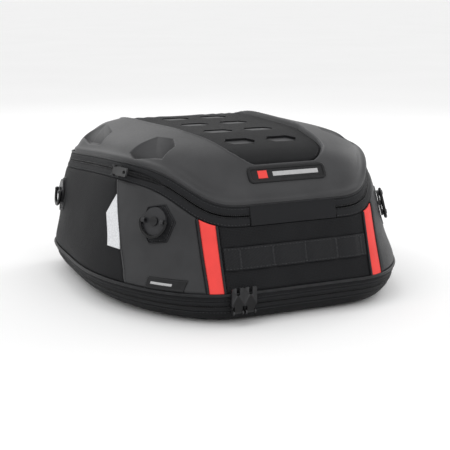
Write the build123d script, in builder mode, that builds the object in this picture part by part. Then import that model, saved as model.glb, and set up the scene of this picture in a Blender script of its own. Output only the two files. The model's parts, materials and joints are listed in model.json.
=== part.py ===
"""Expandable soft tail/tank bag: zipped moulded lid, fabric walls and a base that zips open to grow.

Frame: +Z up, label face towards -Y, symmetric about X = 0, origin at the bottom centre of the bag.
Units: millimetres.
"""

from build123d import *
import os

os.makedirs("parts", exist_ok=True)

# ---------------------------------------------------------------- driving dimensions
WIDTH = 340.0          # widest plan width, at the seam above the base band
LENGTH = 324.0         # plan length, label face to front face
HEIGHT = 168.0         # floor to the crown of the lid
WIDEST_Y = -10.0       # where the plan is widest
PAD = 1.2              # rubber grip pads under the base
PAD_SIZE = (70.0, 16.0)
PAD_PITCH = (110.0, 78.0)
BOARD_INSET = (32.0, 24.0, 22.0)       # stiffening board, in from the plan outline: side, rear, front
BOARD_T = 2.5
SEAM_Z = 30.0          # seam between the base band and the walls

# Outer form: (height, side inset, rear inset, front inset, extra front half width) of each level.
BASE_LEVELS = [
    (PAD, 24.0, 15.0, 13.0, 0.0),
    (6.0, 13.0, 6.0, 6.0, 0.0),
    (16.0, 4.0, 1.2, 1.2, 0.0),
    (SEAM_Z, 0.0, 0.0, 0.0, 0.0),
]
BAG_LEVELS = [
    (SEAM_Z, 0.0, 0.0, 0.0, 0.0),
    (60.0, 11.0, 8.8, 2.0, 7.0),
    (91.0, 19.0, 17.0, 4.0, 11.0),
    (110.0, 24.0, 22.5, 5.5, 11.0),
    (130.0, 29.5, 31.0, 7.0, 9.0),
    (142.0, 34.0, 38.5, 8.5, 7.0),
    (150.0, 41.0, 46.0, 11.0, 6.0),
    (156.0, 50.0, 57.0, 15.0, 6.0),
    (161.0, 63.0, 74.0, 21.0, 6.0),
    (165.0, 80.0, 98.0, 31.0, 5.0),
    (HEIGHT, 106.0, 128.0, 50.0, 4.0),
]
CROWN_Z = 142.0        # from here up the form turns over into the lid's top

# Plan outline as shares of half width (u) and of the length from the widest line (v).
REAR_CURVE = [(0.365, 1.0), (0.57, 0.945), (0.835, 0.625)]
FRONT_CURVE = [(0.99, 0.38), (0.957, 0.74), (0.87, 0.94), (0.66, 1.0)]

# Main zip: its lower edge seen from the side as (y, z). High along the front, low across the rear.
ZIP_LINE = [(-185, 90), (-144, 91), (-116, 107), (-89, 119), (-55, 124), (48, 121), (122, 115), (185, 110)]
ZIP_BAND = 17.0        # zip band, wall edge to lid edge
ZIP_GAP = 0.3          # between the two rows of teeth
ZIP_TEETH = 1.3        # height of one row of teeth
HINGE_HALF = 47.0      # half width of the fabric hinge across the rear

# Sheet thicknesses
WALL = 2.5
LID_WALL = 3.5
TAPE = 2.0
OVERLAY = 1.0          # panels sewn onto the walls
LAY_GAP = 0.2          # air between a wall and what is sewn onto it
RIM = 1.9              # piping, webbing and rims
SEAM_HALF = 1.6        # half width of the seam piping
EDGE_GAP = 0.3         # between edges that meet along a seam
LINING = 0.8
TACK_RISE = 0.6        # bar tacks above the webbing

# Expansion zip around the base band, and how high the gusset lets the bag rise.
EXP_TAPE_LOW = 14.0
EXP_TAPE_HIGH = 24.0
EXP_TEETH = 1.35       # height of one row of teeth
EXP_Z = 19.0           # middle of the zip
GUSSET = 2.0           # folded gusset cloth behind the zip
GUSSET_INSET = 4.0
GUSSET_Z = (9.0, 27.0)

# Panels on the walls
CORNER_X = 88.0        # seam between rear, side and front wall panels
STRIP = (81.5, 94.5)   # red strip across the rear corners, |x| range
PIPING = 2.2           # piping width beside a strip
PATCH_EDGE = [(-28, 123), (-35, 109), (-47, 82), (-58, 63), (-76, 43), (-84, 28)]
REFLECTOR = [(-24, 90), (-36, 111), (-61, 60), (-40, 60)]
TAG_HEIGHT = 11.0
TAG_Y = (-140.0, -107.0)
WEB_Z = (51.5, 72.5)
WEB_HALF = 77.5
TACK_X = (-62.0, -27.0, 8.0, 43.0, 72.0)
TACK_HALF = 1.2
TACK_INSET = 1.5

# Lid trim, badge, top panel and its slots
LID_BINDING = 2.8      # binding around the lid's edge
POCKET_Z, POCKET_T = 147.0, 1.0
POCKET_INSET = (46.0, 52.0, 20.0)      # net pocket, in from the plan outline: side, rear, front
PANEL_Z = 145.0        # the top panel ends above the badge
BADGE_HALF = 42.5
BADGE_Z = (128.5, 143.0)
BADGE_RIM = 2.2
PANEL_SIDE = [(40, -121), (51, -106), (55, -90), (60, -59), (66, -31), (74, 50), (77, 113), (77, 138)]
SLOT_X = 23.5
SLOT_ROWS = (-71.0, -18.0, 43.0, 99.0)
SLOT_SIZE = (34.0, 21.0)
SLOT_CUT = 6.0         # slant at the ends of a slot

# Lashing rings
PATCH_T = 0.7
PATCH_R = 23.0         # corner radius of the six-sided patch
PATCH_TURN = 12.0
PATCH_ROOT = 8.0       # how deep a patch reaches before the wall trims it
RING_DISC_R = 13.6
RING_DISC_T = 2.2
RING_FLOAT = 0.3       # running gap under and over the disc
RING_R = 15.5
RING_WIRE = 1.7
LUG_IN, LUG_OUT = 9.4, 13.3
LUG_R = 2.5
PIN_R = 1.3
PIN_CLEARANCE = 0.08
RIVET_R = 2.5
RIVET_HEAD = (4.5, 1.2)

REACH = 200.0          # half size of cutting tools, larger than the bag


# ---------------------------------------------------------------- the outer form
def plan_outline(side, rear, front, fuller=0.0):
    """Closed plan outline, inset from the widest one and made fuller towards the front."""
    half = WIDTH / 2 - side
    to_rear = -LENGTH / 2 + rear - WIDEST_Y
    to_front = LENGTH / 2 - front - WIDEST_Y
    points = [(u * half, WIDEST_Y + v * to_rear) for u, v in REAR_CURVE]
    points.append((half, WIDEST_Y))
    points += [(u * half + v * fuller, WIDEST_Y + v * to_front) for u, v in FRONT_CURVE]
    side_line = Spline(*points)
    mirror(side_line, about=Plane.YZ)
    for x, y in (points[0], points[-1]):
        Line((x, y), (-x, y))


def form(inset):
    """Solid inside the outer form, moved in by inset (out if negative)."""
    with BuildPart() as solid:
        for z, side, rear, front, fuller in BASE_LEVELS:
            lift = inset * (1 - z / SEAM_Z) if z < SEAM_Z else 0
            with BuildSketch(Plane.XY.offset(z + lift)):
                with BuildLine():
                    plan_outline(side + inset, rear + inset, front + inset, fuller)
                make_face()
        loft()
        for z, side, rear, front, fuller in BAG_LEVELS:
            turn = max(0.0, (z - CROWN_Z) / (HEIGHT - CROWN_Z))
            drop = inset * turn**0.5
            shrink = inset * (1 - 0.6 * turn)
            with BuildSketch(Plane.XY.offset(z - drop)):
                with BuildLine():
                    plan_outline(side + shrink, rear + shrink, front + shrink, fuller)
                make_face()
        loft()
    return solid.part


OUTER = form(0)
LAID = form(-LAY_GAP)
PROUD = form(-OVERLAY)
RAISED = form(-RIM)
TAPE_INNER = form(TAPE)
LID_INNER = form(LID_WALL)

# Layers of the bag: the forms just outside and just inside each.
WALL_LAYER = (OUTER, form(WALL))
TAPE_LAYER = (OUTER, TAPE_INNER)
TEETH_LAYER = (PROUD, TAPE_INNER)
LID_LAYER = (OUTER, LID_INNER)
LINING_LAYER = (LID_INNER, form(LID_WALL + LINING))
GUSSET_LAYER = (form(GUSSET_INSET), form(GUSSET_INSET + GUSSET))
PANEL_LAYER = (PROUD, LAID)
RIM_LAYER = (RAISED, LAID)
LABEL_LAYER = (RAISED, PROUD)
TACK_LAYER = (form(-RIM - TACK_RISE), RAISED)


# ---------------------------------------------------------------- cutting tools
def zip_edge(shift):
    """The zip line seen from the side, moved up by shift."""
    return Spline(*[(y, z + shift) for y, z in ZIP_LINE])


def level_edge(z):
    """A level line seen from the side."""
    return Line((ZIP_LINE[0][0], z), (ZIP_LINE[-1][0], z))


def band(low, high):
    """Tool between two edges seen from the side; each is ("zip", shift) or ("level", z)."""
    draw = {"zip": zip_edge, "level": level_edge}
    with BuildPart() as tool:
        with BuildSketch(Plane.YZ):
            with BuildLine():
                bottom = draw[low[0]](low[1])
                top = draw[high[0]](high[1])
                Line(bottom @ 0, top @ 0)
                Line(bottom @ 1, top @ 1)
            make_face()
        extrude(amount=REACH, both=True)
    return tool.part


def block(x, y, z):
    """Box tool from three (low, high) ranges."""
    with BuildPart() as tool:
        with BuildSketch(Plane.XY.offset(z[0])):
            with Locations(((x[0] + x[1]) / 2, (y[0] + y[1]) / 2)):
                Rectangle(x[1] - x[0], y[1] - y[0])
        extrude(amount=z[1] - z[0])
    return tool.part


def side_prism(points, left):
    """Tool with an outline given in (y, z), reaching out from the middle to one side."""
    with BuildPart() as tool:
        with BuildSketch(Plane.YZ):
            with BuildLine():
                Polyline(*points, close=True)
            make_face()
        extrude(amount=-REACH if left else REACH)
    return tool.part


def skin(layer, *tools, cut=()):
    """Piece of a layer, kept where all tools meet and cut away by others."""
    outside, inside = layer
    with BuildPart() as piece:
        add(tools[0])
        for tool in tools[1:]:
            add(tool, mode=Mode.INTERSECT)
        for tool in cut:
            add(tool, mode=Mode.SUBTRACT)
        add(outside, mode=Mode.INTERSECT)
        add(inside, mode=Mode.SUBTRACT)
    return piece.part


def save(part, name):
    """Labels a finished piece and writes its STEP file."""
    part.label = name
    export_step(part, f"parts/{name}.step")


FULL = (-REACH, REACH)
REAR_MIDDLE = block((-CORNER_X, CORNER_X), (-REACH, 0), (0, REACH))
FRONT_MIDDLE = block((-CORNER_X, CORNER_X), (0, REACH), (0, REACH))
LEFT_SIDE = block((-REACH, -CORNER_X), FULL, (0, REACH))
RIGHT_SIDE = block((CORNER_X, REACH), FULL, (0, REACH))
HINGE_ZONE = block((-HINGE_HALF, HINGE_HALF), (-REACH, 0), (0, REACH))

# ---------------------------------------------------------------- base
save(skin(WALL_LAYER, block(FULL, FULL, (0, EXP_TAPE_LOW))), "base_pan")

with BuildPart() as base_board:
    with BuildSketch(Plane.XY.offset(PAD + WALL)):
        with BuildLine():
            plan_outline(*BOARD_INSET)
        make_face()
    extrude(amount=BOARD_T)
save(base_board.part, "base_board")

with BuildPart() as grip_pads:
    with BuildSketch():
        with GridLocations(*PAD_PITCH, 2, 3):
            RectangleRounded(*PAD_SIZE, PAD_SIZE[1] / 3)
    extrude(amount=PAD)
save(grip_pads.part, "grip_pads")

teeth_low = (EXP_Z - ZIP_GAP / 2 - EXP_TEETH, EXP_Z - ZIP_GAP / 2)
teeth_high = (EXP_Z + ZIP_GAP / 2, EXP_Z + ZIP_GAP / 2 + EXP_TEETH)
save(skin(TAPE_LAYER, block(FULL, FULL, (EXP_TAPE_LOW, teeth_low[0]))), "expansion_tape_lower")
save(skin(TEETH_LAYER, block(FULL, FULL, teeth_low)), "expansion_teeth_lower")
save(skin(GUSSET_LAYER, block(FULL, FULL, GUSSET_Z)), "expansion_gusset")

# ---------------------------------------------------------------- bag walls
save(skin(TEETH_LAYER, block(FULL, FULL, teeth_high)), "expansion_teeth_upper")
save(skin(TAPE_LAYER, block(FULL, FULL, (teeth_high[1], EXP_TAPE_HIGH))), "expansion_tape_upper")
save(skin(WALL_LAYER, block(FULL, FULL, (EXP_TAPE_HIGH, SEAM_Z))), "base_band")
save(skin(RIM_LAYER, block(FULL, FULL, (SEAM_Z - SEAM_HALF, SEAM_Z + SEAM_HALF))), "seam_piping")

WALL_BAND = band(("level", SEAM_Z), ("zip", 0))
for name, zone in (
    ("rear_wall", REAR_MIDDLE),
    ("front_wall", FRONT_MIDDLE),
    ("side_wall_left", LEFT_SIDE),
    ("side_wall_right", RIGHT_SIDE),
):
    save(skin(WALL_LAYER, WALL_BAND, zone), name)

# Panels and trim sewn onto the walls
above_piping = SEAM_Z + SEAM_HALF + LAY_GAP
PANEL_BAND = band(("level", above_piping), ("zip", -EDGE_GAP))
patch_outline = PATCH_EDGE + [(-REACH, PATCH_EDGE[-1][1]), (-REACH, PATCH_EDGE[0][1])]
strip_piping_solids = []
for left in (True, False):
    hand = "left" if left else "right"
    sign = -1 if left else 1
    outward = STRIP[1] + PIPING + EDGE_GAP
    patch_zone = block(sorted((sign * outward, sign * REACH)), (-REACH, 0), (0, REACH))
    patch = skin(PANEL_LAYER, PANEL_BAND, side_prism(patch_outline, left), patch_zone)
    save(patch, f"side_patch_{hand}")
    save(skin(PANEL_LAYER, side_prism(REFLECTOR, left), cut=[patch]), f"reflector_{hand}")
    strip_zone = block(sorted((sign * STRIP[0], sign * STRIP[1])), (-REACH, 0), (0, REACH))
    save(skin(PANEL_LAYER, PANEL_BAND, strip_zone), f"red_strip_{hand}")
    for edge in (STRIP[0] - PIPING, STRIP[1]):
        pipe_zone = block(sorted((sign * edge, sign * (edge + PIPING))), (-REACH, 0), (0, REACH))
        strip_piping_solids.append(skin(RIM_LAYER, PANEL_BAND, pipe_zone))

with BuildPart() as strip_piping:
    for solid in strip_piping_solids:
        add(solid)
save(strip_piping.part, "strip_piping")

tag_zone = block((-REACH, -CORNER_X), TAG_Y, (above_piping, above_piping + TAG_HEIGHT))
save(skin(LABEL_LAYER, tag_zone), "blank_tag")

web_zone = block((-WEB_HALF, WEB_HALF), (-REACH, 0), WEB_Z)
save(skin(RIM_LAYER, web_zone), "webbing_row")
with BuildPart() as webbing_tacks:
    for x in TACK_X:
        tack_z = (WEB_Z[0] + TACK_INSET, WEB_Z[1] - TACK_INSET)
        tack_zone = block((x - TACK_HALF, x + TACK_HALF), (-REACH, 0), tack_z)
        add(skin(TACK_LAYER, tack_zone))
save(webbing_tacks.part, "webbing_tacks")

# Carry handle: a webbing loop sewn down at both ends and bowed out from the front wall.
HANDLE_HALF = 70.0
HANDLE_PAD = 20.0      # sewn length at each end
HANDLE_Z = (66.0, 90.0)
HANDLE_FACE = LENGTH / 2 - 2
HANDLE_BOW = 12.0      # outer face of the loop, out from the wall
HANDLE_T = 3.0
HANDLE_ROOT = 6.0      # how deep the ends reach before the wall trims them
free_half = HANDLE_HALF - HANDLE_PAD
with BuildPart() as carry_handle:
    with BuildSketch(Plane.XY.offset(HANDLE_Z[0])):
        with BuildLine():
            Spline(
                (-HANDLE_HALF, HANDLE_FACE + HANDLE_T),
                (-free_half, HANDLE_FACE + HANDLE_T + 1),
                (0, HANDLE_FACE + HANDLE_BOW),
                (free_half, HANDLE_FACE + HANDLE_T + 1),
                (HANDLE_HALF, HANDLE_FACE + HANDLE_T),
            )
            Spline(
                (-free_half, HANDLE_FACE),
                (0, HANDLE_FACE + HANDLE_BOW - HANDLE_T),
                (free_half, HANDLE_FACE),
            )
            for sign in (-1, 1):
                Polyline(
                    (sign * HANDLE_HALF, HANDLE_FACE + HANDLE_T),
                    (sign * HANDLE_HALF, HANDLE_FACE - HANDLE_ROOT),
                    (sign * free_half, HANDLE_FACE - HANDLE_ROOT),
                    (sign * free_half, HANDLE_FACE),
                )
        make_face()
    extrude(amount=HANDLE_Z[1] - HANDLE_Z[0])
    add(OUTER, mode=Mode.SUBTRACT)
save(carry_handle.part, "carry_handle")

# ---------------------------------------------------------------- main zip and fabric hinge
zip_mid = ZIP_BAND / 2
teeth_tool_low = band(("zip", zip_mid - ZIP_GAP / 2 - ZIP_TEETH), ("zip", zip_mid - ZIP_GAP / 2))
teeth_tool_high = band(("zip", zip_mid + ZIP_GAP / 2), ("zip", zip_mid + ZIP_GAP / 2 + ZIP_TEETH))
tape_tool_low = band(("zip", 0), ("zip", zip_mid - ZIP_GAP / 2 - ZIP_TEETH))
tape_tool_high = band(("zip", zip_mid + ZIP_GAP / 2 + ZIP_TEETH), ("zip", ZIP_BAND))
save(skin(TAPE_LAYER, tape_tool_low, cut=[HINGE_ZONE]), "main_zip_tape_lower")
save(skin(TEETH_LAYER, teeth_tool_low, cut=[HINGE_ZONE]), "main_zip_teeth_lower")
save(skin(TEETH_LAYER, teeth_tool_high, cut=[HINGE_ZONE]), "main_zip_teeth_upper")
save(skin(TAPE_LAYER, tape_tool_high, cut=[HINGE_ZONE]), "main_zip_tape_upper")
hinge_zone = block((-HINGE_HALF + EDGE_GAP, HINGE_HALF - EDGE_GAP), (-REACH, 0), (0, REACH))
hinge_band = band(("zip", EDGE_GAP), ("zip", ZIP_BAND - EDGE_GAP))
save(skin(TAPE_LAYER, hinge_band, hinge_zone), "lid_hinge_fabric")

# ---------------------------------------------------------------- lid
above_zip = band(("zip", ZIP_BAND), ("level", REACH))
save(skin(LID_LAYER, above_zip), "lid_shell")
save(skin(RIM_LAYER, band(("zip", ZIP_BAND), ("zip", ZIP_BAND + LID_BINDING))), "lid_binding")
save(skin(LINING_LAYER, band(("zip", ZIP_BAND + EDGE_GAP), ("level", REACH))), "lid_lining")

with BuildPart() as lid_mesh_pocket:
    with BuildSketch(Plane.XY.offset(POCKET_Z)):
        with BuildLine():
            plan_outline(*POCKET_INSET)
        make_face()
    extrude(amount=POCKET_T)
save(lid_mesh_pocket.part, "lid_mesh_pocket")

# Top panel: a wide rear end that runs forward between the lid's shoulders, with slots in two columns.
with BuildPart() as panel_zone:
    with BuildSketch():
        with BuildLine():
            side_line = Spline(*PANEL_SIDE)
            mirror(side_line, about=Plane.YZ)
            for x, y in (PANEL_SIDE[0], PANEL_SIDE[-1]):
                Line((x, y), (-x, y))
        make_face()
        for y in SLOT_ROWS:
            for x in (-SLOT_X, SLOT_X):
                with Locations((x, y)):
                    w, d = SLOT_SIZE
                    corners = [(-w / 2, 0), (-w / 2 + SLOT_CUT, d / 2), (w / 2 - SLOT_CUT, d / 2)]
                    Polygon(*corners, *[(-a, -b) for a, b in corners], align=None, mode=Mode.SUBTRACT)
    extrude(amount=REACH)
save(skin(PANEL_LAYER, panel_zone.part, block(FULL, FULL, (PANEL_Z, REACH))), "top_panel")

badge_outer = block((-BADGE_HALF, BADGE_HALF), (-REACH, 0), BADGE_Z)
badge_inner = block(
    (-BADGE_HALF + BADGE_RIM, BADGE_HALF - BADGE_RIM),
    (-REACH, 0),
    (BADGE_Z[0] + BADGE_RIM, BADGE_Z[1] - BADGE_RIM),
)
save(skin(RIM_LAYER, badge_outer, cut=[badge_inner]), "badge_rim")
save(skin(PANEL_LAYER, badge_inner), "badge_plate")


# ---------------------------------------------------------------- lashing rings
def seat(surface, toward, z):
    """Plane on the surface in a plan direction at a height: z out, y up along the surface."""
    ray = Axis((0, WIDEST_Y, z), toward)
    hits = surface.shell().find_intersection_points(ray)
    point, normal = [hit for hit in hits if (hit[0] - ray.position).dot(ray.direction) > 0][0]
    across = Vector(0, 0, 1).cross(normal).normalized()
    return Plane(origin=point, x_dir=across, z_dir=normal)


def cross_plane(place, y, z):
    """Plane at local (0, y, z), looking along the local x axis."""
    return Plane(origin=place.from_local_coords((0, y, z)), x_dir=place.y_dir, z_dir=place.x_dir)


def lashing_ring(name, surface, toward, z, turn):
    """Patch, rivet, swivel disc and bail of one lashing ring, turned in its own plane."""
    flat = seat(surface, toward, z)
    turned = Plane(flat.location * Rotation(0, 0, turn))
    top = PATCH_T + RING_FLOAT + RING_DISC_T
    axle = top + RING_WIRE + RING_FLOAT
    with BuildPart() as patch:
        with BuildSketch(flat.offset(-PATCH_ROOT)):
            RegularPolygon(radius=PATCH_R, side_count=6, rotation=PATCH_TURN)
        extrude(amount=PATCH_ROOT + PATCH_T)
        add(surface, mode=Mode.SUBTRACT)
    save(patch.part, f"ring_patch_{name}")
    with BuildPart() as rivet:
        with BuildSketch(flat.offset(PATCH_T)):
            Circle(RIVET_R)
        extrude(amount=RING_DISC_T + 2 * RING_FLOAT)
        with BuildSketch(flat.offset(top + RING_FLOAT)):
            Circle(RIVET_HEAD[0])
        extrude(amount=RIVET_HEAD[1])
    with BuildPart() as disc:
        with BuildSketch(turned.offset(PATCH_T + RING_FLOAT)):
            Circle(RING_DISC_R)
            Circle(RIVET_R + PIN_CLEARANCE, mode=Mode.SUBTRACT)
        extrude(amount=RING_DISC_T)
        for side in (-1, 1):
            lug_mid = side * (LUG_IN + LUG_OUT) / 2
            with BuildSketch(cross_plane(turned, 0, 0).offset(lug_mid - (LUG_OUT - LUG_IN) / 2)):
                with Locations((0, axle)):
                    Circle(LUG_R)
                with Locations((0, (top + axle) / 2 - 0.5)):
                    Rectangle(2 * LUG_R, axle - top + 1)
                with Locations((0, axle)):
                    Circle(PIN_R + PIN_CLEARANCE, mode=Mode.SUBTRACT)
            extrude(amount=LUG_OUT - LUG_IN)
    save(disc.part, f"ring_swivel_{name}")
    with BuildPart() as bail:
        with BuildLine(turned.offset(axle)) as route:
            CenterArc((0, 0), RING_R, 180, 180)
        with BuildSketch(Plane(origin=route.line @ 0, z_dir=route.line % 0)):
            Circle(RING_WIRE)
        sweep()
        for side in (-1, 1):
            end = turned.from_local_coords((side * RING_R, 0, axle))
            with Locations(end):
                Sphere(RING_WIRE)
            with BuildSketch(Plane(origin=end, z_dir=turned.x_dir * -side)):
                Circle(PIN_R)
            extrude(amount=RING_R - LUG_IN + RING_FLOAT)
    save(bail.part, f"ring_bail_{name}")
    return rivet.part, flat, turned, axle


RINGS = {
    "rear_left": (PROUD, (-126, -88, 0), 93, 0),
    "rear_right": (PROUD, (126, -88, 0), 90, -75),
    "front_left": (OUTER, (-150, 128, 0), 88, 0),
    "front_right": (OUTER, (150, 128, 0), 88, 0),
}
rivets = []
for name, (surface, toward, z, turn) in RINGS.items():
    rivet, flat, turned, axle = lashing_ring(name, surface, toward, z, turn)
    rivets.append(rivet)
    pivot = turned.from_local_coords((0, 0, axle))
    print("ring", name, "centre", flat.origin, "normal", flat.z_dir, "bail pivot", pivot, "axis", turned.x_dir)
with BuildPart() as ring_rivets:
    for rivet in rivets:
        add(rivet)
save(ring_rivets.part, "ring_rivets")


# ---------------------------------------------------------------- zip sliders
SLIDER = (11.0, 13.0, 2.4)     # width, length and thickness of the plate
SLIDER_CORNER = 2.5
SLIDER_GAP = 0.8       # between the plate and the zip
SLIDER_PIN_Y = -4.5
SLIDER_LUG = 1.6
PIN_RISE = 1.6         # pin above the plate
PIN_EYE, PIN_LUG_R, PULLER_PIN_R = 1.0, 1.9, 0.92
TAB_T = 1.6
TAB_NECK = 8.0         # neck of the tab, over the plate
TAB_WIDE = {"fork": 13.0, "plain": 9.0}
TAB_HOLE = {"fork": (10.0, 3.8, 2.5), "plain": (6.0, 3.0, 5.0)}    # slot length and width, back from the end
EXPANSION_TAB, MAIN_TAB = 24.0, 30.0


def slider(name, place):
    """Slider plate with two lugs; place has z outwards and y along the puller at rest."""
    wide, tall, thick = SLIDER
    pin_z = SLIDER_GAP + thick + PIN_RISE
    with BuildPart() as body:
        with BuildSketch(place.offset(SLIDER_GAP)):
            RectangleRounded(wide, tall, SLIDER_CORNER)
        extrude(amount=thick)
        for side in (-1, 1):
            lug_mid = side * (wide / 2 - SLIDER_LUG / 2)
            with BuildSketch(cross_plane(place, 0, 0).offset(lug_mid - SLIDER_LUG / 2)):
                with Locations((SLIDER_PIN_Y, pin_z)):
                    Circle(PIN_LUG_R)
                with Locations((SLIDER_PIN_Y, pin_z - PIN_RISE / 2)):
                    Rectangle(2 * PIN_LUG_R, PIN_RISE + 2 * EDGE_GAP)
                with Locations((SLIDER_PIN_Y, pin_z)):
                    Circle(PIN_EYE, mode=Mode.SUBTRACT)
            extrude(amount=SLIDER_LUG)
    save(body.part, f"{name}_slider")


def puller(name, place, length, kind):
    """Pull tab with its cross pin, lying over the slider; a fork tab is open at its free end."""
    wide, tall, thick = SLIDER
    pin_z = SLIDER_GAP + thick + PIN_RISE
    inner = wide - 2 * SLIDER_LUG - 2 * EDGE_GAP
    long_hole, wide_hole, back = TAB_HOLE[kind]
    wide_end = length - TAB_NECK + 2
    with BuildPart() as tab:
        with BuildSketch(place.offset(pin_z - TAB_T / 2)):
            with Locations((0, SLIDER_PIN_Y + TAB_NECK / 2 - 1)):
                Rectangle(inner, TAB_NECK)
            with Locations((0, SLIDER_PIN_Y + length - wide_end / 2)):
                RectangleRounded(TAB_WIDE[kind], wide_end, PIN_LUG_R - LAY_GAP)
            with Locations((0, SLIDER_PIN_Y + length - back)):
                SlotOverall(long_hole, wide_hole, rotation=90, mode=Mode.SUBTRACT)
        extrude(amount=TAB_T)
        with BuildSketch(cross_plane(place, SLIDER_PIN_Y, pin_z)):
            Circle(PULLER_PIN_R)
        extrude(amount=wide / 2 - LAY_GAP, both=True)
    save(tab.part, f"{name}_puller")
    print(name, "pin", place.from_local_coords((0, SLIDER_PIN_Y, pin_z)), "axis", place.x_dir, "along", place.y_dir)


rear_face = -LENGTH / 2 + 0.9 - OVERLAY
for name, x in (("expansion_a", -58.0), ("expansion_b", -71.0)):
    place = Plane(origin=(x, rear_face, EXP_Z - 0.5), x_dir=(1, 0, 0), z_dir=(0, -1, 0))
    slider(name, place)
    puller(name, place, EXPANSION_TAB, "fork")

# One slider on the left band, one on the front band; each runs along a straight stretch.
MAIN_RUNS = {
    "main_left": ((-WIDTH / 2, -38, 124 + zip_mid), (-WIDTH / 2, 36, 121 + zip_mid), -1),
    "main_right": ((24, LENGTH / 2, 112 + zip_mid), (84, LENGTH / 2, 112 + zip_mid), -1),
}
for name, (first, last, trail) in MAIN_RUNS.items():
    start = seat(PROUD, (first[0], first[1] - WIDEST_Y, 0), first[2])
    finish = seat(PROUD, (last[0], last[1] - WIDEST_Y, 0), last[2])
    travel = (finish.origin - start.origin).normalized()
    outward = (start.z_dir + finish.z_dir).normalized()
    outward = (outward - travel * outward.dot(travel)).normalized()
    along = travel * trail
    place = Plane(origin=start.origin + outward * 0.8, x_dir=along.cross(outward), z_dir=outward)
    slider(name, place)
    puller(name, place, MAIN_TAB, "plain")
    print(name, "travel", travel)
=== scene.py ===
"""Looks of the soft motorcycle bag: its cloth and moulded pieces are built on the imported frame's surface.

The frame's outer skin is read once as a distance from a point inside the bag (the heart). All pieces are
grids laid on that skin, in metres, +Z up, label face towards -Y.
"""

import json
import math

import bpy
import numpy as np
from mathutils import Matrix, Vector
from mathutils.bvhtree import BVHTree


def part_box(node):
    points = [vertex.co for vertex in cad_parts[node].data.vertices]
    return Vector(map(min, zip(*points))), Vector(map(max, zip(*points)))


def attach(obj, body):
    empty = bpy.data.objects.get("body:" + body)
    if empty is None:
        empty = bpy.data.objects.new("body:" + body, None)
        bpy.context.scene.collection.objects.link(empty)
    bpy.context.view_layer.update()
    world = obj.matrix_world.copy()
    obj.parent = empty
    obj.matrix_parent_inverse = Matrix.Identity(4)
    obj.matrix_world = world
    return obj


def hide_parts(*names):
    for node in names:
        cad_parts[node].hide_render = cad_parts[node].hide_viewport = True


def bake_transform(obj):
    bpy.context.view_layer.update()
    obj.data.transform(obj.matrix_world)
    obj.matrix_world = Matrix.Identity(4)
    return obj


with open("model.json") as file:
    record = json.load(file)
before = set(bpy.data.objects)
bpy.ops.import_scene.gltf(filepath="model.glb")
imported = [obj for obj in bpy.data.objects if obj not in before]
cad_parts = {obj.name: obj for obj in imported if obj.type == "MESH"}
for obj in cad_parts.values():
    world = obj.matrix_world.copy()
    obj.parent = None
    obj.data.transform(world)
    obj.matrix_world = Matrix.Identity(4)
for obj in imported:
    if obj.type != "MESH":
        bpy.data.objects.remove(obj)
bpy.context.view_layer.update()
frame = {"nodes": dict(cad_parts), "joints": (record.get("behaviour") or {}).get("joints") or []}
nodes = frame["nodes"]
MM = 0.001

# ------------------------------------------------------------------ camera, light and floor
CAMERA = (-0.49109, -1.03876, 0.31204)
LOOK_AT = (-0.03713, -0.06525, 0.075)
LENS = 85.92


def aim(obj, target):
    """Turns an object's -Z axis towards a point."""
    direction = Vector(target) - obj.location
    obj.rotation_euler = direction.to_track_quat("-Z", "Y").to_euler()


def area_light(name, place, target, size, power):
    data = bpy.data.lights.new(name, "AREA")
    data.shape = "RECTANGLE"
    data.size, data.size_y = size
    data.energy = power
    light = bpy.data.objects.new(name, data)
    light.location = place
    bpy.context.collection.objects.link(light)
    aim(light, target)


camera_data = bpy.data.cameras.new("camera")
camera_data.lens = LENS
camera = bpy.data.objects.new("camera", camera_data)
camera.location = CAMERA
bpy.context.collection.objects.link(camera)
aim(camera, LOOK_AT)
bpy.context.scene.camera = camera

area_light("key_top_left", (-0.9, -0.25, 1.25), (0, 0, 0.08), (0.9, 0.9), 2.6)
area_light("front_fill", (0.35, -1.5, 0.75), (0, -0.1, 0.08), (1.1, 0.7), 3)
area_light("right_rim", (1.2, 0.4, 0.8), (0, 0, 0.1), (0.7, 0.9), 4)
area_light("back_rim", (-0.3, 1.4, 0.9), (0, 0, 0.12), (1.2, 0.5), 3.0)

world = bpy.data.worlds.new("studio")
world.use_nodes = True
world.node_tree.nodes["Background"].inputs["Color"].default_value = (1, 1, 1, 1)
world.node_tree.nodes["Background"].inputs["Strength"].default_value = 0.95
bpy.context.scene.world = world
bpy.context.scene.view_settings.view_transform = "Standard"


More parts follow.
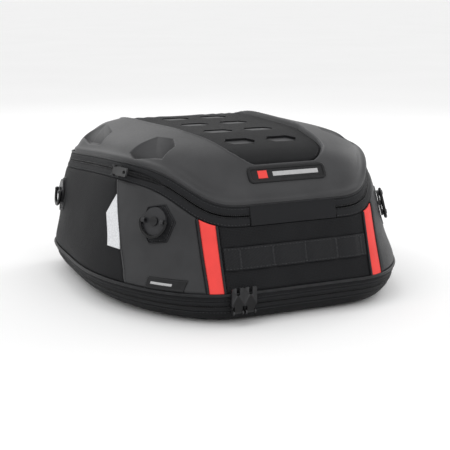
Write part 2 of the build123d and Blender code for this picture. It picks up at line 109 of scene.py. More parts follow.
# ------------------------------------------------------------------ materials
class Paint:
    """A procedural material being put together; value inputs stay on the shader's own sockets."""

    def __init__(self, name, colour, roughness, metallic=0.0, sheen=0.0, coat=0.0, specular=0.25):
        self.material = bpy.data.materials.new(name)
        self.material.use_nodes = True
        self.nodes = self.material.node_tree.nodes
        self.links = self.material.node_tree.links
        self.shader = self.nodes["Principled BSDF"]
        self.colour = colour
        self.shader.inputs["Base Color"].default_value = (*colour, 1)
        self.shader.inputs["Roughness"].default_value = roughness
        self.shader.inputs["Metallic"].default_value = metallic
        self.shader.inputs["Sheen Weight"].default_value = sheen
        self.shader.inputs["Coat Weight"].default_value = coat
        self.shader.inputs["Specular IOR Level"].default_value = specular
        self.height = None

    def node(self, kind, **settings):
        made = self.nodes.new(kind)
        for key, value in settings.items():
            setattr(made, key, value)
        return made

    def plug(self, source, target):
        self.links.new(source, target)

    def math(self, operation, a, b=0.0):
        made = self.node("ShaderNodeMath", operation=operation)
        for socket, value in ((made.inputs[0], a), (made.inputs[1], b)):
            if isinstance(value, (int, float)):
                socket.default_value = value
            else:
                self.plug(value, socket)
        return made.outputs[0]

    def place(self, uv):
        made = self.node("ShaderNodeTexCoord")
        return made.outputs["UV" if uv else "Object"]

    def noise(self, size_mm, detail=4.0):
        """Noise with features of about size_mm."""
        made = self.node("ShaderNodeTexNoise")
        made.inputs["Scale"].default_value = 1000.0 / size_mm
        made.inputs["Detail"].default_value = detail
        self.plug(self.place(False), made.inputs["Vector"])
        return made.outputs["Fac"]

    def raise_by(self, source, weight):
        """Adds a source, times a weight in mm, to the material's relief."""
        part = self.math("MULTIPLY", source, weight)
        self.height = part if self.height is None else self.math("ADD", self.height, part)

    def weave(self, pitch_mm, depth_mm, twill=False):
        """Threads over and under each other in UV space, pitch_mm apart."""
        split = self.node("ShaderNodeSeparateXYZ")
        self.plug(self.place(True), split.inputs[0])
        turn = math.pi / (pitch_mm * MM)
        across = self.math("MULTIPLY", split.outputs[0], turn)
        along = self.math("MULTIPLY", split.outputs[1], turn)
        if twill:
            along = self.math("ADD", along, self.math("MULTIPLY", across, 0.5))
        warp, weft = self.math("SINE", across), self.math("SINE", along)
        chosen = self.math("GREATER_THAN", self.math("MULTIPLY", warp, weft), 0.0)
        mix = self.node("ShaderNodeMix", data_type="FLOAT")
        self.plug(chosen, mix.inputs[0])
        self.plug(self.math("ABSOLUTE", warp), mix.inputs[2])
        self.plug(self.math("ABSOLUTE", weft), mix.inputs[3])
        self.raise_by(mix.outputs[0], depth_mm)
        return mix.outputs[0]

    def vary(self, factor, dark, light, low=0.3, high=0.7):
        """Colour between dark and light shares of the base colour, by a factor."""
        ramp = self.node("ShaderNodeValToRGB")
        ramp.color_ramp.elements[0].position = low
        ramp.color_ramp.elements[1].position = high
        for element, share in zip(ramp.color_ramp.elements, (dark, light)):
            element.color = (*[min(1.0, c * share) for c in self.colour], 1)
        self.plug(factor, ramp.inputs[0])
        self.plug(ramp.outputs[0], self.shader.inputs["Base Color"])
        self.last = ramp.outputs[0]

    def wear(self, colour, low, high, strength):
        """Lighter, rubbed colour on raised edges."""
        geometry = self.node("ShaderNodeNewGeometry")
        ramp = self.node("ShaderNodeMapRange")
        ramp.inputs["From Min"].default_value = low
        ramp.inputs["From Max"].default_value = high
        ramp.inputs["To Max"].default_value = strength
        self.plug(geometry.outputs["Pointiness"], ramp.inputs["Value"])
        mix = self.node("ShaderNodeMix", data_type="RGBA")
        self.plug(ramp.outputs[0], mix.inputs[0])
        self.plug(self.last, mix.inputs[6])
        mix.inputs[7].default_value = (*colour, 1)
        self.plug(mix.outputs[2], self.shader.inputs["Base Color"])

    def rough(self, factor, low, high):
        made = self.node("ShaderNodeMapRange")
        made.inputs["To Min"].default_value = low
        made.inputs["To Max"].default_value = high
        self.plug(factor, made.inputs["Value"])
        self.plug(made.outputs[0], self.shader.inputs["Roughness"])

    def finish(self, strength=1.0):
        if self.height is not None:
            bump = self.node("ShaderNodeBump")
            bump.inputs["Strength"].default_value = strength
            bump.inputs["Distance"].default_value = MM
            self.plug(self.height, bump.inputs["Height"])
            self.plug(bump.outputs[0], self.shader.inputs["Normal"])
        return self.material


def finish_of(name, colour, roughness, weave=None, bumps=(), tone=None, tone_share=1, thread_share=0,
              shares=(1, 1), span=(0.3, 0.7), worn=None, rough=None, strength=1.0, **shader):
    """A material from its recipe, with sizes and depths in mm.

    bumps are noise (size, depth). tone is the size of the noise that varies the colour, which tone_share
    and thread_share mix with the threads; without it the threads vary it alone. shares is the base colour's
    range over that. worn is the rubbed edges' colour and range. rough is a noise size or "threads", and a
    range.
    """
    paint = Paint(name, colour, roughness, **shader)
    threads = paint.weave(*weave) if weave else None
    for size, depth, *detail in bumps:
        paint.raise_by(paint.noise(size, *detail), depth)
    factor = threads
    if tone is not None:
        factor = paint.noise(tone)
        if tone_share != 1:
            factor = paint.math("MULTIPLY", factor, tone_share)
        if thread_share:
            factor = paint.math("ADD", factor, paint.math("MULTIPLY", threads, thread_share))
    paint.vary(factor, *shares, *span)
    if worn:
        paint.wear(*worn)
    if rough:
        source, *limits = rough
        paint.rough(threads if source == "threads" else paint.noise(source), *limits)
    return paint.finish(strength)


def reflective_film():
    paint = Paint("reflective_film", (0.74, 0.75, 0.77), 0.34, metallic=0.25, coat=0.25)
    cells = paint.node("ShaderNodeTexVoronoi")
    cells.inputs["Scale"].default_value = 700
    paint.plug(paint.place(True), cells.inputs["Vector"])
    paint.raise_by(cells.outputs["Distance"], 0.12)
    paint.vary(cells.outputs["Distance"], 1.06, 0.86, 0.1, 0.7)
    return paint.finish(0.5)


def grip_rubber():
    paint = Paint("grip_rubber", (0.02, 0.02, 0.022), 0.6)
    split = paint.node("ShaderNodeSeparateXYZ")
    paint.plug(paint.place(False), split.inputs[0])
    ribs = paint.math("SINE", paint.math("MULTIPLY", split.outputs[0], 2 * math.pi / (3 * MM)))
    paint.raise_by(ribs, 0.4)
    paint.vary(paint.noise(5), 0.75, 1.3)
    return paint.finish()


MATERIALS = {
    "black_ballistic": finish_of(
        "ballistic_nylon", (0.0085, 0.0087, 0.0096), 0.66, weave=(1.5, 0.22), bumps=[(9, 0.25)], tone=38,
        tone_share=0.6, thread_share=0.6, shares=(0.62, 1.55), span=(0.3, 0.9),
        rough=("threads", 0.72, 0.5), strength=0.9, sheen=0.01, specular=0.1),
    "grey_patch": finish_of(
        "grey_coated_cloth", (0.031, 0.0313, 0.0328), 0.52, weave=(0.7, 0.05),
        bumps=[(14, 0.2), (0.8, 0.04)], tone=30, thread_share=0.12, shares=(0.86, 1.14),
        worn=((0.07, 0.07, 0.075), 0.53, 0.62, 0.5), rough=(6, 0.42, 0.58), strength=0.8, sheen=0.02,
        specular=0.2),
    "eva_lid": finish_of(
        "moulded_foam", (0.040, 0.0402, 0.042), 0.5, bumps=[(0.9, 0.06, 2), (5, 0.06)], tone=26,
        shares=(0.9, 1.1), worn=((0.1, 0.101, 0.106), 0.52, 0.58, 0.6), rough=(2.2, 0.44, 0.58),
        strength=0.7, sheen=0.02),
    "panel": finish_of(
        "top_panel_cloth", (0.0105, 0.0107, 0.0115), 0.66, weave=(0.9, 0.1, True), bumps=[(16, 0.3)],
        tone=30, thread_share=0.2, shares=(0.85, 1.2), span=(0.3, 0.9), strength=0.8, sheen=0.01,
        specular=0.1),
    "black_smooth": finish_of(
        "zip_tape", (0.0105, 0.0108, 0.012), 0.66, weave=(0.6, 0.08, True), shares=(0.7, 1.35),
        span=(0.1, 0.9), strength=0.8, sheen=0.02, specular=0.15),
    "webbing": finish_of(
        "webbing", (0.0105, 0.0108, 0.012), 0.55, weave=(1.3, 0.25, True), shares=(0.5, 1.5),
        span=(0.1, 0.9), rough=("threads", 0.65, 0.42), sheen=0.02, specular=0.15),
    "piping": finish_of(
        "piping", (0.009, 0.0093, 0.0105), 0.5, bumps=[(0.7, 0.12)], tone=7, shares=(0.7, 1.5),
        strength=0.8, sheen=0.03),
    "zip_teeth": finish_of(
        "zip_coil", (0.009, 0.009, 0.01), 0.32, bumps=[(0.6, 0.05)], tone=4, shares=(0.7, 1.4),
        strength=0.6, coat=0.1),
    "red_strip": finish_of(
        "red_band", (0.80, 0.058, 0.050), 0.5, weave=(0.8, 0.06), bumps=[(9, 0.15)], tone=22,
        thread_share=0.15, shares=(0.9, 1.06), span=(0.3, 0.9), strength=0.7, sheen=0.02),
    "reflector": reflective_film(),
    "label": finish_of(
        "label_rubber", (0.0075, 0.0077, 0.0085), 0.42, bumps=[(0.9, 0.04)], tone=6, shares=(0.8, 1.25),
        worn=((0.05, 0.05, 0.053), 0.53, 0.62, 0.5), strength=0.7, coat=0.03),
    "print": finish_of(
        "light_print", (0.42, 0.42, 0.425), 0.5, bumps=[(0.6, 0.03)], tone=3, shares=(0.92, 1.04),
        strength=0.6),
    "thread": finish_of(
        "stitch_thread", (0.028, 0.0285, 0.031), 0.5, bumps=[(0.4, 0.05)], tone=1.2, shares=(0.7, 1.5),
        strength=0.7, sheen=0.05),
    "lining": finish_of(
        "lining", (0.17, 0.173, 0.18), 0.72, weave=(0.7, 0.06), bumps=[(18, 0.6)], tone=26,
        thread_share=0.15, shares=(0.82, 1.1), span=(0.3, 0.9), strength=0.8, sheen=0.05),
    "mesh": finish_of(
        "pocket_net", (0.03, 0.03, 0.033), 0.6, weave=(2.4, 0.3), shares=(0.15, 1.8), span=(0.2, 0.8)),
    "board": finish_of(
        "base_board", (0.05, 0.05, 0.054), 0.55, bumps=[(1.2, 0.08)], tone=12, shares=(0.85, 1.15),
        strength=0.7),
    "grip": grip_rubber(),
    "hardware": finish_of(
        "hardware_plastic", (0.016, 0.0163, 0.0175), 0.44, bumps=[(0.8, 0.05)], tone=5,
        shares=(0.8, 1.25), worn=((0.04, 0.04, 0.043), 0.55, 0.64, 0.5), rough=(3, 0.3, 0.44),
        strength=0.6, coat=0.04),
    "metal": finish_of(
        "black_painted_metal", (0.006, 0.0061, 0.0066), 0.42, bumps=[(0.5, 0.03)], tone=3,
        shares=(0.7, 1.4), worn=((0.07, 0.07, 0.074), 0.58, 0.66, 0.5), rough=(2, 0.3, 0.44),
        strength=0.5, metallic=0.2, coat=0.08),
}

# ------------------------------------------------------------------ the bag's skin, read from the frame
HEART = np.array([0.0, -0.010, 0.062])
SKIN_NODES = (
    "base_pan", "expansion_tape_lower", "expansion_tape_upper", "base_band", "rear_wall", "front_wall",
    "side_wall_left", "side_wall_right", "main_zip_tape_lower", "main_zip_tape_upper", "lid_hinge_fabric",
    "lid_shell",
)
AROUND, UPWARDS = 720, 361
FAR = 0.45
PIT = 1.6 * MM         # a reading this much below its neighbours fell into a gap between pieces


def read_skin():
    """Distance from the heart to the outside of the frame, for every direction on a grid."""
    points, faces = [], []
    for name in SKIN_NODES:
        mesh = nodes[name].data
        start = len(points)
        points += [vertex.co.copy() for vertex in mesh.vertices]
        faces += [[start + i for i in face.vertices] for face in mesh.polygons]
    tree = BVHTree.FromPolygons(points, faces)
    turns = np.arange(AROUND) * 2 * np.pi / AROUND
    tilts = np.linspace(-np.pi / 2, np.pi / 2, UPWARDS)
    heart = Vector(HEART)
    found = np.full((UPWARDS, AROUND), np.nan)
    for j, tilt in enumerate(tilts):
        for i, turn in enumerate(turns):
            way = Vector((math.cos(turn) * math.cos(tilt), math.sin(turn) * math.cos(tilt), math.sin(tilt)))
            hit = tree.ray_cast(heart + way * FAR, -way, FAR)
            if hit[0] is not None:
                found[j, i] = FAR - hit[3]
    for _ in range(3):
        for i in range(AROUND):
            column = found[:, i]
            low = np.roll(column, 6)
            high = np.roll(column, -6)
            pit = (column < np.fmin(low, high) - PIT) | np.isnan(column)
            pit[:6] = np.isnan(column[:6])
            pit[-6:] = np.isnan(column[-6:])
            good = ~pit
            found[:, i] = np.interp(np.arange(UPWARDS), np.flatnonzero(good), column[good])
    return found


def blur(field, sigmas, modes, width):
    """Gaussian blur down rows and along columns; modes say how each axis goes on past its ends."""
    for axis, (sigma, mode) in enumerate(zip(sigmas, modes)):
        reach = int(width * sigma + 1)
        weights = np.exp(-0.5 * (np.arange(-reach, reach + 1) / sigma) ** 2)
        weights /= weights.sum()
        pads = [(0, 0), (0, 0)]
        pads[axis] = (reach, reach)
        longer = np.pad(field, pads, **mode)
        field = np.apply_along_axis(lambda row: np.convolve(row, weights, "valid"), axis, longer)
    return field


SKIN = blur(read_skin(), (1.6, 2.2), ({"mode": "edge"}, {"mode": "wrap"}), 3)


def cubic_weights(share):
    """Catmull-Rom weights of the four nearest readings."""
    s = share[..., None]
    powers = np.concatenate([np.ones_like(s), s, s**2, s**3], axis=-1)
    matrix = 0.5 * np.array([[0, 2, 0, 0], [-1, 0, 1, 0], [2, -5, 4, -1], [-1, 3, -3, 1]])
    return powers @ matrix


def skin_distance(ways):
    """Distance from the heart to the skin along unit ways."""
    turn = np.arctan2(ways[..., 1], ways[..., 0]) % (2 * np.pi) * AROUND / (2 * np.pi)
    tilt = (np.arcsin(np.clip(ways[..., 2], -1, 1)) + np.pi / 2) / np.pi * (UPWARDS - 1)
    column = np.floor(turn).astype(int)
    row = np.floor(tilt).astype(int)
    column_weights = cubic_weights(turn - column)
    row_weights = cubic_weights(tilt - row)
    total = np.zeros(turn.shape)
    for a in range(4):
        for b in range(4):
            reading = SKIN[np.clip(row + a - 1, 0, UPWARDS - 1), (column + b - 1) % AROUND]
            total += row_weights[..., a] * column_weights[..., b] * reading
    return total


def unit(vectors):
    return vectors / np.linalg.norm(vectors, axis=-1, keepdims=True)


def onto_skin(points):
    """Points moved along their way from the heart onto the skin."""
    ways = unit(points - HEART)
    return HEART + ways * skin_distance(ways)[..., None]


def fixed_point(points, axis):
    """Points on the skin with two coordinates kept; the third is found."""
    points = points.astype(float).copy()
    for _ in range(25):
        points[..., axis] += 0.8 * (onto_skin(points)[..., axis] - points[..., axis])
    return points


def out_of_skin(points):
    """Outward unit normals of the skin."""
    step = 1.5 * MM
    slope = np.empty_like(points)
    for axis in range(3):
        shift = np.zeros(3)
        shift[axis] = step
        ahead, behind = points + shift - HEART, points - shift - HEART
        far_ahead = np.linalg.norm(ahead, axis=-1)
        far_behind = np.linalg.norm(behind, axis=-1)
        slope[..., axis] = (
            far_ahead - skin_distance(ahead / far_ahead[..., None])
            - far_behind + skin_distance(behind / far_behind[..., None])
        )
    return unit(slope)


def lift(points, height):
    """Points raised off the skin by a height in metres."""
    height = np.broadcast_to(height, points.shape[:-1])
    return points + out_of_skin(points) * height[..., None]


def around(turns, rule):
    """Points round the bag where z = rule(y)."""
    ways = np.stack([np.cos(turns), np.sin(turns)], axis=-1)
    wide = np.full(turns.shape, 0.15)
    for _ in range(30):
        flat = HEART[:2] + ways * wide[..., None]
        points = np.concatenate([flat, rule(flat[..., 1])[..., None]], axis=-1)
        found = onto_skin(points)
        target = np.linalg.norm(found[..., :2] - HEART[:2], axis=-1)
        wide += 0.7 * (target - wide)
    return points


def smooth_curve(points):
    """Natural cubic through (a, b) points, as a function of a."""
    a, b = np.array(points, float).T
    count = len(a)
    gap = np.diff(a)
    system = np.eye(count)
    right = np.zeros(count)
    for i in range(1, count - 1):
        system[i, i - 1 : i + 2] = gap[i - 1], 2 * (gap[i - 1] + gap[i]), gap[i]
        right[i] = 3 * ((b[i + 1] - b[i]) / gap[i] - (b[i] - b[i - 1]) / gap[i - 1])
    bend = np.linalg.solve(system, right)

    def curve(x):
        i = np.clip(np.searchsorted(a, x) - 1, 0, count - 2)
        t = x - a[i]
        slope = (b[i + 1] - b[i]) / gap[i] - gap[i] * (2 * bend[i] + bend[i + 1]) / 3
        return b[i] + t * (slope + t * (bend[i] + t * (bend[i + 1] - bend[i]) / (3 * gap[i])))

    return curve


# Main zip's lower edge seen from the side, as in the CAD, and the other driving places.
ZIP_LINE = [(-185, 90), (-144, 91), (-116, 107), (-89, 119), (-55, 124), (48, 121), (122, 115), (185, 110)]
zip_curve = smooth_curve([(y * MM, z * MM) for y, z in ZIP_LINE])
ZIP_BAND = 17 * MM
SEAM_Z = sum(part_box("seam_piping")[i][2] for i in (0, 1)) / 2
EXP_Z = (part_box("expansion_teeth_lower")[1][2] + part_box("expansion_teeth_upper")[0][2]) / 2
HINGE_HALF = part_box("lid_hinge_fabric")[1][0]
STRIP_IN, STRIP_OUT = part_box("red_strip_right")[0][0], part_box("red_strip_right")[1][0]
WEB_LOW, WEB_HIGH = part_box("webbing_row")[0][2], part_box("webbing_row")[1][2]
WEB_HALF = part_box("webbing_row")[1][0]


def zip_rule(shift):
    return lambda y: zip_curve(y) + shift


def level_rule(z):
    return lambda y: np.full(np.shape(y), z)


# ------------------------------------------------------------------ mesh making
def new_object(name, points, faces):
    mesh = bpy.data.meshes.new(name)
    mesh.from_pydata([tuple(p) for p in points], [], [tuple(f) for f in faces])
    obj = bpy.data.objects.new(name, mesh)
    bpy.context.collection.objects.link(obj)
    return obj


def make_object(name, points, faces, material, body, uv=None, node=None):
    """Mesh object riding on a body, in place of a node; uv is one pair per vertex, in metres."""
    obj = new_object(name, points, faces)
    mesh = obj.data
    mesh.materials.append(MATERIALS[material])
    if uv is not None:
        layer = mesh.uv_layers.new(name="UVMap")
        corners = np.empty(len(mesh.loops), dtype=np.int32)
        mesh.loops.foreach_get("vertex_index", corners)
        layer.data.foreach_set("uv", np.asarray(uv, np.float32)[corners].ravel())
    mesh.polygons.foreach_set("use_smooth", [True] * len(mesh.polygons))
    mesh.update()
    if body is not None:
        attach(obj, body)
    if node is not None:
        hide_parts(node)
    return obj


def grid_faces(rows, columns, closed):
    """Quads of a grid, wound so that they face outwards for rows going up and columns anticlockwise."""
    last = columns if closed else columns - 1
    row, column = np.meshgrid(np.arange(rows - 1), np.arange(last), indexing="ij")
    a = row * columns + column
    b = row * columns + (column + 1) % columns
    return np.stack([a, b, b + columns, a + columns], axis=-1).reshape(-1, 4)


def rod_faces(count, sides, closed=False):
    """Quads between rings of a rod in a row, with a cap at each end unless the row closes."""
    faces = (grid_faces(count + int(closed), sides, True) % (count * sides)).tolist()
    if not closed:
        faces += [tuple(range(sides))[::-1], tuple((count - 1) * sides + j for j in range(sides))]
    return faces


def arc_lengths(grid):
    """Distance along columns and rows from the first, in metres."""
    along = np.linalg.norm(np.diff(grid, axis=1), axis=-1).cumsum(axis=1)
    up = np.linalg.norm(np.diff(grid, axis=0), axis=-1).cumsum(axis=0)
    return np.pad(along, ((0, 0), (1, 0))), np.pad(up, ((1, 0), (0, 0)))


def edge_distance(grid):
    """Distance of each grid point to the nearest border, in metres."""
    along, up = arc_lengths(grid)
    return np.minimum(np.minimum(up, up[-1:] - up), np.minimum(along, along[:, -1:] - along))


def cloth_piece(name, body, material, grid, height, sink=1.2 * MM, closed=False, node=None):
    """A sewn piece laid on the skin: raised by height, with its borders turned down by sink."""
    height = np.broadcast_to(height, grid.shape[:2]).astype(float)
    along, up = arc_lengths(grid)
    pads = ((1, 1), (0, 0)) if closed else ((1, 1), (1, 1))
    base = np.pad(grid, (*pads, (0, 0)), mode="edge")
    raised = np.pad(height, pads, mode="edge")
    raised[0], raised[-1] = raised[0] - sink, raised[-1] - sink
    if not closed:
        raised[:, 0] = np.minimum(raised[:, 0], raised[:, 1] - sink)
        raised[:, -1] = np.minimum(raised[:, -1], raised[:, -2] - sink)
    points = lift(base, raised)
    uv = np.stack([np.pad(along, pads, mode="edge"), np.pad(up, pads, mode="edge")], axis=-1)
    rows, columns = raised.shape
    faces = grid_faces(rows, columns, closed)
    return make_object(name, points.reshape(-1, 3), faces, material, body, uv.reshape(-1, 2), node)


def four_sided(low, high, rows, axis):
    """Grid between a low and a high line of points (columns, 3), put on the skin along an axis."""
    share = np.linspace(0, 1, rows)[:, None, None]
    return fixed_point(low * (1 - share) + high * share, axis)


def seeded_waves(points, size, seed):
    """Smooth, repeatable waviness between -1 and 1."""
    rng = np.random.default_rng(seed)
    total = np.zeros(points.shape[:-1])
    for _ in range(9):
        way = rng.normal(size=3)
        way /= np.linalg.norm(way)
        total += np.sin(points @ way * (2 * np.pi / (size * rng.uniform(0.7, 1.6))) + rng.uniform(0, 6.28))
    return total / 9


PRESSURE, LAST_FRAME, SHEET_STEP = 4.0, 20, 6 * MM


def blown(grid, cap):
    """Rise of a pinned cloth sheet under pressure, from a cloth simulation, for each grid point."""
    along, up = arc_lengths(grid)
    rows = max(5, int(up[-1].mean() / SHEET_STEP) + 1)
    columns = max(5, int(along[:, -1].mean() / SHEET_STEP) + 1)
    row_at = np.linspace(0, grid.shape[0] - 1, rows)
    column_at = np.linspace(0, grid.shape[1] - 1, columns)
    coarse = grid[np.round(row_at).astype(int)][:, np.round(column_at).astype(int)]
    rise = simulate(coarse)
    rise = np.clip(rise, -0.3 * cap, cap)
    by_row = np.array([np.interp(np.arange(grid.shape[1]), column_at, line) for line in rise])
    full = np.array([np.interp(np.arange(grid.shape[0]), row_at, line) for line in by_row.T]).T
    reach = (max(1.0, grid.shape[0] / rows), max(1.0, grid.shape[1] / columns))
    return blur(full, reach, [{"mode": "reflect", "reflect_type": "odd"}] * 2, 2.5)


def simulate(coarse):
    """Cloth simulation of an open sheet held at its border; returns the rise along the skin's normal."""
    rows, columns = coarse.shape[:2]
    flat = coarse.reshape(-1, 3)
    obj = new_object("sim", flat, grid_faces(rows, columns, False))
    mesh = obj.data
    pinned = obj.vertex_groups.new(name="pinned")
    border = np.zeros((rows, columns), bool)
    border[[0, -1], :] = True
    border[:, [0, -1]] = True
    pinned.add([int(i) for i in np.flatnonzero(border.ravel())], 1.0, "REPLACE")
    cloth = obj.modifiers.new("cloth", "CLOTH")
    settings = cloth.settings
    settings.quality = 6
    settings.mass = 0.25
    settings.tension_stiffness = settings.compression_stiffness = 12
    settings.shear_stiffness = 4
    settings.bending_stiffness = 0.4
    settings.use_pressure = True
    settings.uniform_pressure_force = PRESSURE
    settings.vertex_group_mass = "pinned"
    settings.effector_weights.gravity = 0.0
    cloth.point_cache.frame_start = 1
    cloth.point_cache.frame_end = LAST_FRAME
    scene = bpy.context.scene
    for step in range(1, LAST_FRAME + 1):
        scene.frame_set(step)
    depsgraph = bpy.context.evaluated_depsgraph_get()
    evaluated = obj.evaluated_get(depsgraph)
    moved = np.array([tuple(v.co) for v in evaluated.data.vertices])
    rise = ((moved - flat) * out_of_skin(flat)).sum(axis=-1).reshape(rows, columns)
    bpy.data.objects.remove(obj)
    bpy.data.meshes.remove(mesh)
    scene.frame_set(1)
    return rise


def line_length(points):
    return np.pad(np.linalg.norm(np.diff(points, axis=0), axis=1).cumsum(), (1, 0))


def evenly(points, pitch):
    """Points of a line spaced evenly, about a pitch apart."""
    length = line_length(points)
    count = max(2, int(round(length[-1] / pitch)) + 1)
    at = np.linspace(0, length[-1], count)
    return np.stack([np.interp(at, length, points[:, k]) for k in range(3)], axis=-1)


def tube(name, body, material, centre, radius, closed, flat=1.0, node=None):
    """Tube along points on or above the skin; flat squashes it towards the skin."""
    up = out_of_skin(centre)
    ahead = np.gradient(centre, axis=0)
    if closed:
        ahead = np.roll(centre, -1, axis=0) - np.roll(centre, 1, axis=0)
    ahead = unit(ahead)
    side = unit(np.cross(ahead, up))
    up = np.cross(side, ahead)
    sides = 12
    angle = np.arange(sides) * 2 * np.pi / sides
    radii = np.broadcast_to(radius, (len(centre),))[:, None, None]
    ring = side[:, None] * np.cos(angle)[None, :, None] + up[:, None] * (flat * np.sin(angle))[None, :, None]
    points = centre[:, None] + ring * radii
    faces = rod_faces(len(centre), sides, closed)
    length = line_length(centre)
    uv = np.stack(np.meshgrid(length, angle / (2 * np.pi) * 0.012, indexing="ij"), axis=-1)
    return make_object(name, points.reshape(-1, 3), faces, material, body, uv.reshape(-1, 2), node)


STITCH_PITCH = 3.4 * MM
STITCH_LONG = 2.4 * MM
STITCH_R = 0.34 * MM


def hump(value, middle, width):
    """Bell curve, 1 at the middle."""
    return np.exp(-(((value - middle) / width) ** 2))


def places(x, y, z):
    """Points from their coordinates, any of which may be an array."""
    return np.stack(np.broadcast_arrays(x, y, z), axis=-1).astype(float)


def pocket(value, edge):
    """0 outside, 1 well inside, with a smooth slope edge wide."""
    share = np.clip(value / edge, 0, 1)
    return share * share * (3 - 2 * share)


def inside_polygon(x, y, corners, edges=None):
    """Signed distance in from a convex polygon's edges (all, or those listed); corners anticlockwise."""
    nearest = np.full(np.shape(x), np.inf)
    for k, (a, b) in enumerate(zip(corners, corners[1:] + corners[:1])):
        if edges is None or k in edges:
            length = math.hypot(b[0] - a[0], b[1] - a[1])
            across = ((b[0] - a[0]) * (y - a[1]) - (b[1] - a[1]) * (x - a[0])) / length
            nearest = np.minimum(nearest, across)
    return nearest


def capsules(name, body, material, centres, ways, ups, length, radius, bow, node=None):
    """Many small rounded rods in one mesh: centres, unit ways along them and unit ups."""
    sides, sections = 6, 5
    share = np.linspace(-1, 1, sections)
    swell = np.sqrt(np.clip(1.0 - share**4, 0.05, 1))
    across = np.cross(ways, ups)
    angle = np.arange(sides) * 2 * np.pi / sides
    spine = centres[:, None] + ways[:, None] * (share * length / 2)[None, :, None]
    spine = spine - ups[:, None] * (bow * share**2)[None, :, None]
    ring = across[:, None] * np.cos(angle)[None, :, None] + ups[:, None] * np.sin(angle)[None, :, None]
    points = spine[:, :, None] + ring[:, None] * (radius * swell)[None, :, None, None]
    start = np.arange(len(centres)) * sides * sections
    quads = (start[:, None, None] + grid_faces(sections, sides, True)[None]).reshape(-1, 4).tolist()
    first = start[:, None] + np.arange(sides)[::-1][None]
    final = start[:, None] + ((sections - 1) * sides + np.arange(sides))[None]
    faces = quads + first.tolist() + final.tolist()
    return make_object(name, points.reshape(-1, 3), faces, material, body, node=node)


def stitches(name, body, lines, pitch=STITCH_PITCH, long=STITCH_LONG, node=None):
    """Rows of sewn thread along lines that lie at the surface they hold down."""
    centres, ways = [], []
    for line in lines:
        spots = evenly(np.asarray(line), pitch)
        ways.append(unit(spots[1:] - spots[:-1]))
        centres.append((spots[1:] + spots[:-1]) / 2)
    centres, ways = np.concatenate(centres), np.concatenate(ways)
    ups = out_of_skin(centres)
    ups = unit(ups - ways * (ups * ways).sum(axis=-1, keepdims=True))
    centres = centres + ups * 0.1 * MM
    return capsules(name, body, "thread", centres, ways, ups, long, STITCH_R, 0.3 * MM, node)


def meet(points, axis, rule):
    """Points on the skin where z = rule(y), with x or y kept and the other found."""
    points = points.astype(float).copy()
    for _ in range(40):
        points[..., 2] = rule(points[..., 1])
        points[..., axis] += 0.7 * (onto_skin(points)[..., axis] - points[..., axis])
    return points


def turn_of(point):
    return math.atan2(point[1] - HEART[1], point[0] - HEART[0]) % (2 * math.pi)


def turn_at_x(x, rule, rear):
    """Direction of the place on the skin with this x, on the rear or front, where z = rule(y)."""
    start = np.array([[x, -0.14 if rear else 0.15, 0.06]])
    return turn_of(meet(start, 1, rule)[0])


def at_x(x, rear):
    return lambda rule: turn_at_x(x, rule, rear)


def turn_at_edge(edge, rule):
    """Direction of the place on the left side where an edge y = edge(z) crosses z = rule(y)."""
    y = -0.05
    for _ in range(20):
        z = float(rule(np.array([y]))[0])
        y += 0.7 * (edge(z) - y)
    return turn_of(fixed_point(np.array([[-0.15, y, z]]), 0)[0])


def blend_rule(low, high, share):
    return lambda y: low(y) * (1 - share) + high(y) * share


def wall_grid(start, end, low, high, rows, columns):
    """Grid between two rules; start and end give the direction of each row's ends."""
    lines = []
    for share in np.linspace(0, 1, rows):
        rule = blend_rule(low, high, share)
        first, last = start(rule), end(rule)
        last = last if last > first else last + 2 * math.pi
        lines.append(around(np.linspace(first, last, columns), rule))
    return np.array(lines)


def tilt_grid(turns, low_tilt, high_tilt, rows):
    """Grid from one tilt to another for each direction, straight out from the heart."""
    share = np.linspace(0, 1, rows)[:, None]
    tilt = low_tilt[None] * (1 - share) + high_tilt * share
    ways = np.stack([np.cos(turns) * np.cos(tilt), np.sin(turns) * np.cos(tilt), np.sin(tilt)], axis=-1)
    return HEART + ways * skin_distance(ways)[..., None]


def tilts_of(points):
    offset = points - HEART
    return np.arcsin(offset[..., 2] / np.linalg.norm(offset, axis=-1))


def mirrored(grid):
    return grid[:, ::-1] * np.array([-1, 1, 1])


def inward(obj):
    """Turns an object's faces over."""
    obj.data.flip_normals()


ALL_ROUND = np.linspace(0, 2 * np.pi, 900, endpoint=False)
POLE = np.pi / 2 - 0.002       # grids stop this near straight up or down


def level_rings(zs, step=1):
    return np.array([around(ALL_ROUND[::step], level_rule(z)) for z in zs])


# ------------------------------------------------------------------ base
EXP_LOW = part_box("expansion_tape_lower")[0][2]
EXP_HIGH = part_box("expansion_tape_upper")[1][2]
ZIP_GROOVE = 0.9 * MM


def coil(name, body, line, node):
    """One side of a nylon coil zip along a line on the skin."""
    spots = evenly(line, 1.9 * MM)
    ahead = unit(np.gradient(spots, axis=0))
    across = unit(np.cross(out_of_skin(spots), ahead))
    leaning = unit(across + ahead * 0.35)
    ups = np.cross(ahead, across)
    capsules(name, body, "zip_teeth", spots, leaning, ups, 2.0 * MM, 0.62 * MM, 0.25 * MM, node)


def closed_line(rule, height):
    points = lift(around(ALL_ROUND, rule), height)
    return np.concatenate([points, points[:1]])


def expansion_half(side, body, zs, coil_z):
    """Tape and coil on one side of the zip round the base."""
    roll = 0.5 * MM * np.sin(np.linspace(0, np.pi, len(zs)))[:, None]
    cloth_piece(f"expansion_tape_{side}_cloth", body, "black_smooth", level_rings(zs), roll - 0.2 * MM,
                closed=True, node=EXPANSION_NODES[side][0])
    line = closed_line(level_rule(coil_z), 0.1 * MM)
    coil(f"expansion_coil_{side}", body, line, EXPANSION_NODES[side][1])


